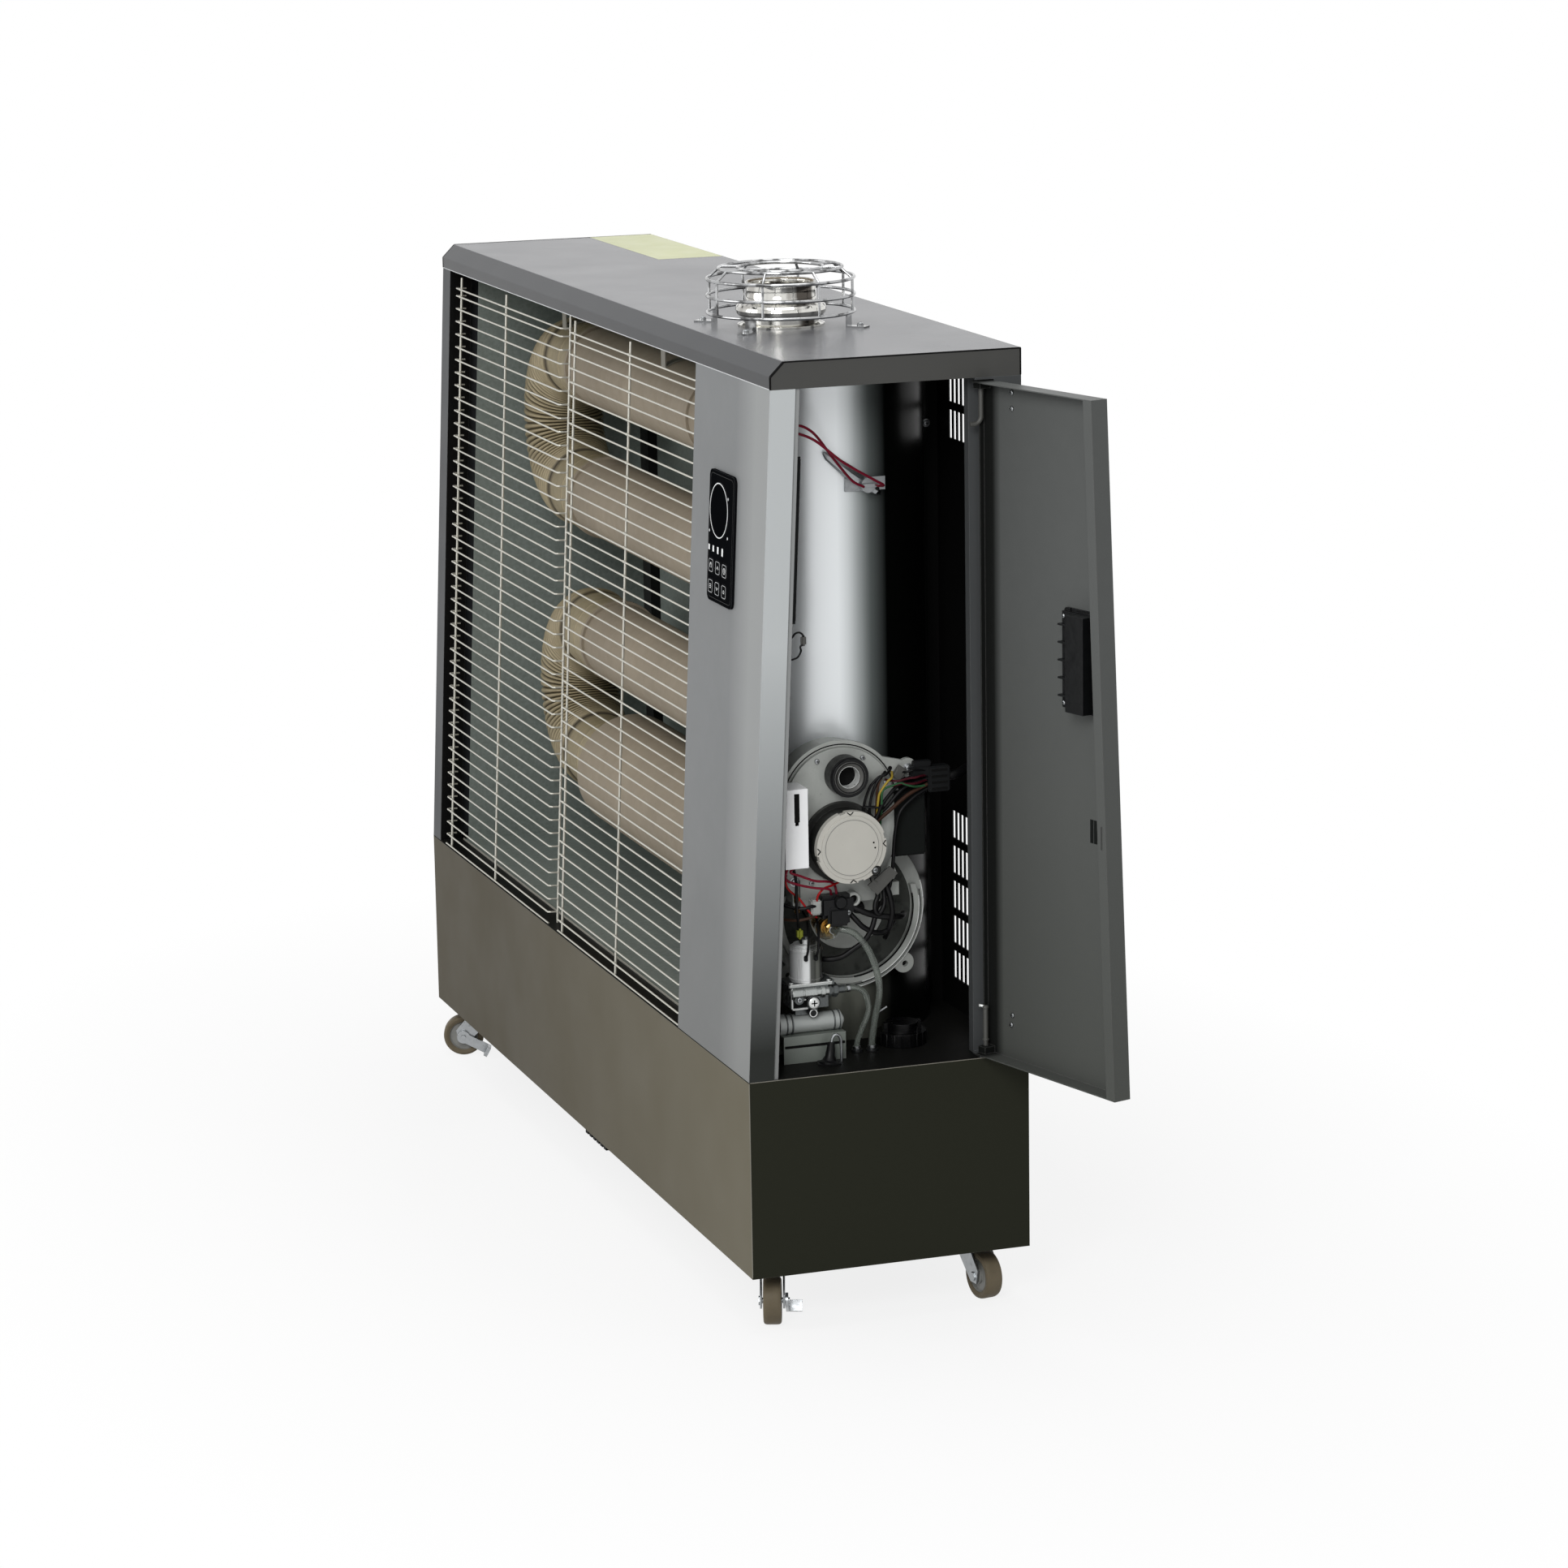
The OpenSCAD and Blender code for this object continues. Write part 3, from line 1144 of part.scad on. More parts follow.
castor_wheel_fl();
castor_wheel_fr();
castor_wheel_rl();
castor_wheel_rr();
brake_lever_fl();
brake_lever_fr();
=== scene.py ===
import math
import bpy
import bmesh
from mathutils import Matrix, Quaternion, Vector

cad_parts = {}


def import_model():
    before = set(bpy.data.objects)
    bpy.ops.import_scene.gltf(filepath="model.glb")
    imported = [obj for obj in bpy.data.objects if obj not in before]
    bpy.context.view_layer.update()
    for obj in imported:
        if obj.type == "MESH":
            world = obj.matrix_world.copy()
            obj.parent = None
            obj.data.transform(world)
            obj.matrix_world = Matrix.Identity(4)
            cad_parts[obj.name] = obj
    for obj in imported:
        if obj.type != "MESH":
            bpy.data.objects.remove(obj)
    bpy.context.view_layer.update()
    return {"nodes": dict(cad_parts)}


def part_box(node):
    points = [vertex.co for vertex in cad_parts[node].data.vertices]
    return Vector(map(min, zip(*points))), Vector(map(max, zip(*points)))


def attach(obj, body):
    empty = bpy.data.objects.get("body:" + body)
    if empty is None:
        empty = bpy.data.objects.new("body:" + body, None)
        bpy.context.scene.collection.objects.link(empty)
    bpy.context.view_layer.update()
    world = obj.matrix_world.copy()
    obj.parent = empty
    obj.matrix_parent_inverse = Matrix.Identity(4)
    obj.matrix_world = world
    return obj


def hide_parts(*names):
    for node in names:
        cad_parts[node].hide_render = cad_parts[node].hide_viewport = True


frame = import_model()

scene = bpy.context.scene
X, Y, Z, DOWN = (1, 0, 0), (0, 1, 0), (0, 0, 1), (0, 0, -1)

# The cabinet frame, in mm: x = 0 at the right side, y = 0 at the plinth's front, z = 0 under the plinth
WIDTH, BODY_D = 1230.0, 303.0
PLINTH_H, WALL_H, LEAN = 210.0, 709.0, 35.0
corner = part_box("plinth_shell")[0]
ORIGIN = Vector((corner.x + WIDTH / 1000, corner.y, corner.z))
CAP_Z = PLINTH_H + WALL_H
CAP_TOP = CAP_Z + 28
TUBE_Y = 147.0
FLUE = Vector((-288.0, TUBE_Y, CAP_TOP))


def at(x, y, z):
    return ORIGIN + Vector((x, y, z)) / 1000


def front_y(z):
    return LEAN * max(0.0, z - PLINTH_H) / WALL_H


# The door stands open at rest, turned about its hinge pins
HINGE = Vector((-7.0, BODY_D - 41, 0))
SWING = Quaternion(Z, math.radians(106))


def open_door(x, y, z):
    """Where a point of the closed door stands with the door open."""
    return HINGE + SWING @ (Vector((x, y, z)) - HINGE)


def link_object(name, data):
    thing = bpy.data.objects.new(name, data)
    scene.collection.objects.link(thing)
    return thing


# ---- camera, as solved from the cabinet's edges in the photograph
CAMERA_AT, FOCAL_MM = (4558.1, -1521.5, 1572.3), 112.19


def camera():
    data = bpy.data.cameras.new("camera")
    data.sensor_width = 36
    data.lens = FOCAL_MM
    data.clip_start, data.clip_end = 0.05, 60
    scene.camera = link_object("camera", data)
    right = Vector((0.32792, 0.94457, -0.01617))
    up = Vector((-0.19657, 0.08497, 0.97680))
    back = Vector((0.92403, -0.31714, 0.21353))
    turn = Matrix((right, up, back)).transposed()
    scene.camera.matrix_world = Matrix.Translation(at(*CAMERA_AT)) @ turn.to_4x4()


# ---- materials
def srgb(r, g, b):
    """Linear colour of an 8-bit screen colour."""
    linear = [c / 12.92 if c <= 0.04045 else ((c + 0.055) / 1.055) ** 2.4 for c in (r / 255, g / 255, b / 255)]
    return (*linear, 1.0)


def add_node(tree, kind, inputs={}, out=0, **settings):
    """Adds a node and returns one of its outputs. Each input gets a value, or a link from another output."""
    node = tree.nodes.new("ShaderNode" + kind)
    for key, value in settings.items():
        setattr(node, key, value)
    for key, value in inputs.items():
        if isinstance(value, bpy.types.NodeSocket):
            tree.links.new(value, node.inputs[key])
        else:
            node.inputs[key].default_value = value
    return node.outputs[out]


class Shade:
    """One procedural material, built from layers that read the shared frame in metres."""

    def __init__(self, name, colour, rough=0.5, metal=0.0):
        self.material = bpy.data.materials.new(name)
        self.material.use_nodes = True
        self.tree = self.material.node_tree
        self.shader = self.tree.nodes["Principled BSDF"]
        self.set(Metallic=metal, Roughness=rough)
        self.rough = rough
        self.coords = self.add("TexCoord", out="Object")
        self.colour = self.add("RGB")
        self.colour.default_value = srgb(*colour)
        self.normal = None

    def add(self, kind, inputs={}, out=0, **settings):
        return add_node(self.tree, kind, inputs, out, **settings)

    def noise(self, scale, detail=2.0, stretch=None):
        vector = self.coords
        if stretch:
            vector = self.add("Mapping", {"Scale": stretch, "Vector": vector})
        return self.add("TexNoise", {"Scale": scale, "Detail": detail, "Vector": vector})

    def span(self, value, low, high, to_low=0.0, to_high=1.0):
        return self.add("MapRange", {0: value, 1: low, 2: high, 3: to_low, 4: to_high})

    def mix(self, factor, colour, kind="MIX"):
        """Mixes the colour so far with another by a factor."""
        self.colour = self.add("Mix", {"Factor": factor, "A": self.colour, "B": colour}, "Result",
                               data_type="RGBA", blend_type=kind)
        return self

    def mottle(self, amount, scale, detail=3.0, stretch=None):
        """Darker and lighter patches."""
        value = self.span(self.noise(scale, detail, stretch), 0.3, 0.7, 1 - amount, 1 + amount)
        return self.mix(1.0, value, "MULTIPLY")

    def specks(self, colour, scale, share, detail=1.0, strength=1.0, soft=0.06, stretch=None):
        value = self.span(self.noise(scale, detail, stretch), 1 - share - soft, 1 - share + soft, 0, strength)
        return self.mix(value, srgb(*colour))

    def streaks(self, colour, scale, share, strength=1.0):
        """Upright stripes of painted reflection, as a studio shows in a polished pipe."""
        return self.specks(colour, scale, share, 1.0, strength, 0.04, (1, 1, 0.04))

    def ribs(self, colour):
        """Painted shade in the valleys between ribs, by the rib height that the form carries."""
        height = self.add("Attribute", out="Fac", attribute_name="rib")
        return self.mix(self.span(height, 0.0, 0.75, 0.92, 0.0), srgb(*colour))

    def gloss(self, scale=150, spread=0.05, detail=2.0, stretch=None):
        """Roughness that varies over the surface."""
        value = self.span(self.noise(scale, detail, stretch), 0.3, 0.7, self.rough - spread, self.rough + spread)
        self.tree.links.new(value, self.shader.inputs["Roughness"])
        return self

    def over_normal(self, kind, inputs, **settings):
        if self.normal:
            inputs["Normal"] = self.normal
        self.normal = self.add(kind, inputs, "Normal", **settings)

    def bumps(self, scale, depth):
        self.over_normal("Bump", {"Strength": 1.0, "Distance": depth, "Height": self.noise(scale)})
        return self

    def edges(self, radius, colour=None, strength=0.6):
        """Rounds the look of hard edges, and lightens the paint along them as a painted highlight."""
        self.over_normal("Bevel", {"Radius": radius}, samples=4)
        if colour:
            flat = self.add("NewGeometry", out="True Normal")
            dot = self.add("VectorMath", {0: self.normal, 1: flat}, "Value", operation="DOT_PRODUCT")
            self.mix(self.span(dot, 0.99, 0.8, 0, strength), srgb(*colour))
        return self

    def past(self, point, way, length, strength=1.0):
        """Rises from 0 past a point, in mm in the cabinet frame, along a direction."""
        way = Vector(way).normalized()
        dot = self.add("VectorMath", {0: self.coords, 1: way}, "Value", operation="DOT_PRODUCT")
        start = at(*point).dot(way)
        return self.span(dot, start, start + length / 1000, 0, strength)

    def ramp(self, point, way, length, colour, strength=1.0, limit=None):
        """Another colour past a point along a direction, and past a second one if a limit is given."""
        value = self.past(point, way, length, strength)
        if limit:
            value = self.add("Math", {0: value, 1: self.past(*limit)}, operation="MULTIPLY")
        return self.mix(value, srgb(*colour))

    def set(self, **values):
        for key, value in values.items():
            self.shader.inputs[key.replace("_", " ")].default_value = value
        return self

    def shine(self, value):
        return self.set(Specular_IOR_Level=value)

    def done(self):
        self.tree.links.new(self.colour, self.shader.inputs["Base Color"])
        if self.normal:
            self.tree.links.new(self.normal, self.shader.inputs["Normal"])
        return self.material


def paint(name, colour, rough=0.42, edge=None, shine=0.08, zones=(), patch=0.05):
    shade = Shade(name, colour, rough).mottle(0.02, 2.2).mottle(0.015, 60)
    for zone in zones:
        shade.ramp(*zone)
    shade.gloss(9, patch).bumps(520, 0.00005)
    # The edge colour is a painted highlight along hard edges.
    if edge:
        shade.edges(0.0008, edge)
    return shade.shine(shine)


def sheet_metal(name, colour, rough, grain=0.04):
    return Shade(name, colour, rough, 1.0).mottle(0.05, 5).mottle(grain, 240, 2).gloss(180, 0.05)


# Right-hand faces, which some materials paint lighter or darker as painted light and shade.
RIGHT_SIDE = ((-0.8, 0, 0), X, 0.5)  # the faces that look to the right
# Across the solenoid, along which the chrome's painted reflection bands lie.
ACROSS = (0.328, 0.945, 0)


def make_materials():
    """Colours are as the photograph's tones ask under this light; most zones paint light and shade onto faces of a
    sheet, and edge colours are painted highlights.
    """
    m = {
        # Painted light and shade: lighter towards the right end of the front, darker on the right-hand faces, near
        # black on the top deck; the edge colour is a painted highlight.
        "plinth": paint(
            "plinth_paint", (80, 75, 62), 0.42, (124, 120, 108), 0.03,
            [((-900, 0, 0), X, 860, (106, 101, 86)), ((-0.9, 0, 0), X, 0.5, (41, 42, 34)),
             ((0, 0, 209.3), Z, 0.4, (20, 20, 19))]),
        "edge_highlight": paint("edge_highlight_paint", (128, 125, 116)),
        # Painted shade: darker on the faces past the outer left face, black on the post's return flange; the edge
        # colour is a painted highlight.
        "end_panel": paint(
            "end_panel_paint", (112, 114, 115), 0.42, (140, 141, 142), 0.12,
            [((-WIDTH + 0.8, 0, 0), X, 0.4, (66, 68, 70)), ((-WIDTH + 32.6, 0, 0), X, 0.2, (10, 10, 10))]),
        # Painted light and shade: a sheen lighter towards the right edge, darker towards the bottom, a much
        # lighter right-hand flange that darkens towards its bottom.
        "column": paint(
            "column_paint", (122, 124, 125), 0.34, (160, 162, 163), 0.06,
            [((-100, 0, 0), X, 60, (148, 150, 150)), ((0, 0, 560), DOWN, 420, (96, 97, 94), 0.5),
             (*RIGHT_SIDE, (192, 196, 197)), ((0, 0, 660), DOWN, 420, (46, 48, 46), 1.0, RIGHT_SIDE)]),
        "post": paint("post_paint", (74, 76, 77), 0.42, (118, 119, 120)),
        # Painted light and shade: lighter on the top face, darker on the front face below the bevel, lighter on
        # the right end.
        "cap": paint(
            "cap_paint", (46, 48, 51), 0.24, None, 0.14,
            [((0, 0, CAP_TOP - 0.6), Z, 0.4, (100, 101, 104)), ((0, 0, CAP_TOP - 14.9), DOWN, 0.4, (34, 36, 39)),
             (*RIGHT_SIDE, (74, 74, 72))], 0.02),
        # Painted shade: darker towards the bottom, near black beside the hinge; the edge colour is a painted
        # highlight.
        "door": paint(
            "door_paint", (90, 92, 91), 0.38, (112, 113, 111), 0.08,
            [((0, 0, 700), DOWN, 480, (80, 82, 79)),
             (open_door(0, 238, 0), SWING @ Vector(Y), 13, (26, 27, 26))]),
        "dark": paint("dark_sheet", (9, 9, 9), 0.6, None, 0.1),
        "back": paint("back_paint", (9, 9, 9), 0.5, None, 0.15,
                      [((0, BODY_D - 0.6, 0), Y, 0.3, (112, 114, 115))]),
        "hanger": paint("hanger_steel", (141, 138, 128), 0.5, None, 0.3, [((0, 190, 0), Y, 1, (17, 17, 17))]),
        "reflector": Shade("reflector_sheet", (128, 136, 131), 0.55, 0.15)
        .mottle(0.06, 5).mottle(0.1, 240, 2).specks((150, 158, 154), 330, 0.3, 2, 0.35)
        .specks((84, 94, 91), 420, 0.3, 2, 0.35).gloss(180, 0.05).bumps(260, 0.0001).shine(0.2),
        # Painted reflection and shade: the bright sheet turns grey, then near black towards the back, and darker
        # towards the bottom.
        "polished": Shade("polished_sheet", (248, 252, 254), 0.3, 0.45)
        .mottle(0.015, 5).gloss(4, 0.03).ramp((0, 146, 0), Y, 36, (150, 158, 157))
        .ramp((0, 0, 470), DOWN, 120, (92, 94, 86)).ramp((0, 172, 0), Y, 30, (8, 9, 8)).shine(0.3),
        "tube": Shade("heat_tube", (144, 133, 116), 0.62)
        .mottle(0.08, 7).mottle(0.04, 90, 4).specks((122, 108, 90), 14, 0.3, 4, 0.4)
        .gloss(60, 0.06).bumps(900, 0.00004).shine(0.3),
        # ribs() paints shade into the valleys between the ribs.
        "bellows": Shade("bellows_steel", (150, 138, 110), 0.5, 0.25)
        .mottle(0.1, 22).mottle(0.06, 160).ribs((44, 38, 28)).gloss(90, 0.07),
        "wire": Shade("wire_steel", (196, 194, 184), 0.36, 0.5)
        .mottle(0.05, 5).mottle(0.04, 240).specks((150, 148, 140), 160, 0.3, 2, 0.4).gloss(180, 0.05),
        "zinc": sheet_metal("zinc_steel", (160, 163, 165), 0.34, 0.06)
        .specks((104, 108, 106), 120, 0.34, 3, 0.6).edges(0.0005),
        # Painted reflection: bright on the near side, then dark, light and dark bands across the solenoid; the
        # edge colour is a painted highlight.
        "chrome": Shade("chrome", (222, 224, 224), 0.3, 0.25)
        .mottle(0.03, 5).gloss(60, 0.04, 2, (6, 6, 0.4)).ramp((-65, 88.8, 0), ACROSS, 2.4, (66, 68, 64))
        .ramp((-62.8, 95.1, 0), ACROSS, 1.6, (120, 122, 116)).ramp((-61.4, 98.9, 0), ACROSS, 1.6, (34, 35, 32))
        .edges(0.0005, (240, 240, 240), 0.7),
        # The flue's upright stripes are a painted reflection.
        "flue_chrome": sheet_metal("flue_chrome", (214, 213, 208), 0.1, 0.02)
        .streaks((64, 58, 52), 34, 0.42, 0.95).streaks((150, 146, 140), 60, 0.4, 0.6).edges(0.0004),
        # The dark and bright patches are a painted reflection.
        "cage_chrome": sheet_metal("cage_chrome", (176, 177, 178), 0.16, 0.03)
        .specks((70, 70, 70), 60, 0.42, 2, 0.85).specks((232, 233, 234), 75, 0.3, 2, 0.8),
        "cast": Shade("cast_metal", (168, 171, 167), 0.5, 0.25)
        .mottle(0.14, 22).specks((128, 130, 126), 420, 0.3, 3, 0.35).gloss(120, 0.1).bumps(900, 0.0002)
        .edges(0.0008, (186, 188, 186)).shine(0.3),
        # Painted light: the top face is lighter; the edge colour is a painted highlight.
        "stand": Shade("stand_steel", (118, 124, 118), 0.45, 0.2)
        .mottle(0.06, 30).gloss(60, 0.06).bumps(900, 0.00005).edges(0.0006, (150, 154, 150))
        .ramp((0, 0, 239.3), Z, 0.3, (166, 170, 168)),
        "pump": Shade("pump_metal", (84, 88, 88), 0.3, 0.5)
        .mottle(0.1, 30).gloss(180, 0.05).edges(0.0005, (150, 152, 152), 0.5),
        "black_metal": Shade("black_metal", (27, 28, 26), 0.42)
        .mottle(0.2, 60).gloss(80, 0.08).bumps(1100, 0.00005).edges(0.0006, (92, 92, 88)).shine(0.3),
        "motor_cap": Shade("motor_cap", (192, 190, 182), 0.46, 0.05)
        .mottle(0.04, 24).specks((168, 165, 154), 260, 0.28, 3, 0.35).gloss(70, 0.08)
        .edges(0.0006, (222, 221, 215)),
        "brass": sheet_metal("brass", (186, 152, 92), 0.28, 0.06).edges(0.0004),
        "white": Shade("white_plastic", (253, 254, 255), 0.4)
        .mottle(0.02, 40).gloss(120, 0.05).bumps(1400, 0.00002).edges(0.0008),
        "black": Shade("black_plastic", (14, 15, 16), 0.36)
        .mottle(0.12, 120).gloss(200, 0.08).bumps(1600, 0.00006).edges(0.0006, (58, 59, 61)).shine(0.2),
        "clear": Shade("clear_hose", (158, 165, 158), 0.14)
        .mottle(0.03, 50).gloss(60, 0.04).set(Transmission_Weight=0.72, IOR=1.42).shine(0.6),
        "connector": Shade("connector", (22, 23, 24), 0.46)
        .mottle(0.1, 90).gloss().bumps(1500, 0.00003).edges(0.0005, (46, 47, 48), 0.5).shine(0.1),
        "fascia": Shade("fascia", (13, 14, 16), 0.3)
        .mottle(0.08, 80).gloss(150, 0.04).bumps(1800, 0.00002).edges(0.001, (84, 85, 87)).shine(0.0),
        "key": Shade("key_cap", (20, 21, 22), 0.45)
        .mottle(0.1, 200).gloss(260, 0.06).bumps(2200, 0.00003).edges(0.0009, (64, 65, 66)).shine(0.0),
        "glass": Shade("display_glass", (10, 11, 13), 0.16).mottle(0.1, 30).gloss(20, 0.02).shine(0.0),
        "print_and_highlight": Shade("light_print_and_highlight", (202, 204, 206), 0.5).mottle(0.06, 300).gloss(300, 0.05),
        "lit": Shade("lit_print", (238, 240, 240), 0.5).mottle(0.04, 300).gloss(300, 0.05),
        "tyre": Shade("tyre_grey", (104, 95, 78), 0.5)
        .mottle(0.1, 60).specks((84, 78, 64), 200, 0.3, 3, 0.4).gloss(120, 0.08).bumps(900, 0.0001).shine(0.12),
        "hub": Shade("hub_plastic", (126, 126, 122), 0.45)
        .mottle(0.08, 90).gloss(150, 0.06).bumps(1200, 0.00004).edges(0.0005, (170, 170, 166), 0.5),
        # Painted shade below the middle, and a painted highlight along the edges.
        "barrel": Shade("barrel_steel", (176, 180, 178), 0.26, 0.4)
        .mottle(0.1, 40).gloss().ramp((0, 0, 282.6), DOWN, 1.2, (44, 46, 44))
        .edges(0.0004, (236, 238, 236), 0.8),
        "bright": Shade("bright_steel", (228, 230, 228), 0.3, 0.3).mottle(0.08, 60).gloss().edges(0.0004),
        "tab": Shade("grey_tab", (74, 74, 71), 0.5)
        .mottle(0.06, 60).gloss().bumps(1200, 0.00004).edges(0.0005, (120, 120, 116), 0.5),
        "gloss_black": Shade("gloss_black", (7, 7, 8), 0.24)
        .mottle(0.2, 60).gloss(60, 0.05).edges(0.0008, (26, 26, 27)).shine(0.2),
        "sticker": Shade("pale_sticker", (202, 205, 166), 0.42)
        .mottle(0.04, 9).gloss(40, 0.06).bumps(900, 0.00002).shine(0.25),
        "dark_cover": paint("dark_cover", (26, 28, 27), 0.5, (44, 46, 45), 0.03),
        "gasket": Shade("gasket", (64, 66, 63), 0.7)
        .mottle(0.15, 40).specks((38, 40, 38), 90, 0.4, 3, 0.6).gloss(90, 0.1).bumps(700, 0.0001).shine(0.1),
        "gap": Shade("dark_gap", (12, 12, 12), 0.8).mottle(0.3, 200).gloss(200, 0.1).shine(0.1),
    }
    for key, colour, rough in (
        ("red", (120, 22, 42), 0.42), ("cable", (9, 9, 10), 0.45), ("green", (44, 88, 56), 0.45),
        ("yellow", (166, 142, 52), 0.4), ("brown", (60, 40, 30), 0.45), ("scarlet", (166, 24, 26), 0.42),
        ("dark_red", (62, 14, 24), 0.45), ("olive", (140, 146, 48), 0.4)):
        wire = Shade("wire_" + key, colour, rough).mottle(0.08, 90).gloss()
        m[key] = wire.bumps(1500, 0.00003).shine(0.18)
    return {key: shade.done() for key, shade in m.items()}


M = make_materials()
# The nodes whose names start so wear the material
NODE_MATERIALS = {
    "plinth": "plinth_shell",
    "dark": "plinth_floor bay_divider control_box",
    "back": "back_panel",
    "black": "intake_collar latch_housing latch_paddle",
    "gloss_black": "fuel_tank filler_cap",
    "end_panel": "left_end_panel",
    "column": "control_column",
    "post": "rear_post",
    "cap": "top_cap",
    "door": "service_door",
    "polished": "heat_shield",
    "reflector": "reflector",
    "wire": "left_guard right_guard",
    "cage_chrome": "flue_guard",
    "tube": "upper_tube second_tube third_tube combustion_drum",
    "bellows": "upper_bellows lower_bellows",
    "hanger": "tube_hangers",
    "flue_chrome": "flue_collar",
    "tab": "hinge_pins",
    "zinc": "thermostat fan_wheel castor_plates castor_fork_ brake_lever_",
    "cast": "burner_flange burner_housing",
    "stand": "fuel_filter",
    "pump": "fuel_pump",
    "chrome": "pump_solenoid",
    "black_metal": "burner_motor",
    "motor_cap": "motor_end_cap",
    "brass": "nozzle_holder",
    "white": "igniter_box",
    "clear": "fuel_hoses",
    "red": "wiring_harness",
    "fascia": "control_fascia",
    "key": "key_",
    "tyre": "castor_wheel_",
}
for key, starts in NODE_MATERIALS.items():
    for name, node in frame["nodes"].items():
        if name.startswith(tuple(starts.split())):
            slots = node.data.materials
            if not slots:
                slots.append(M[key])
            for k in range(len(slots)):
                slots[k] = M[key]


# ---- forms
def smooth(points, steps=8, lift=0.0):
    """Points of a smooth route through given points, as in the CAD. lift is the height of their zero."""
    p = [Vector((x, y, z + lift)) for x, y, z in points]
    out = []
    for i in range(len(p) - 1):
        a, b, c, d = p[max(i - 1, 0)], p[i], p[i + 1], p[min(i + 2, len(p) - 1)]
        for s in range(steps):
            t = s / steps
            out.append(b + 0.5 * t * ((c - a) + t * (2 * a - 5 * b + 4 * c - d + t * (3 * b - a - 3 * c + d))))
    return out + [p[-1]]


def plug(r, h, tip=None, start=0):
    """Profile of a solid pin, with a chamfer to its tip (radius, height) if one is given."""
    return [(0, start), (r, start), (r, h)] + ([tip, (0, tip[1])] if tip else [(0, h)])


def band(inner, outer, h):
    """Profile of a plain ring."""
    return [(inner, 0), (outer, 0), (outer, h), (inner, h)]


def polar(degrees, r=1.0):
    return r * math.cos(math.radians(degrees)), r * math.sin(math.radians(degrees))


def ring(centre, r, u, v, n):
    return [centre + r * (math.cos(a) * u + math.sin(a) * v) for a in (2 * math.pi * j / n for j in range(n))]


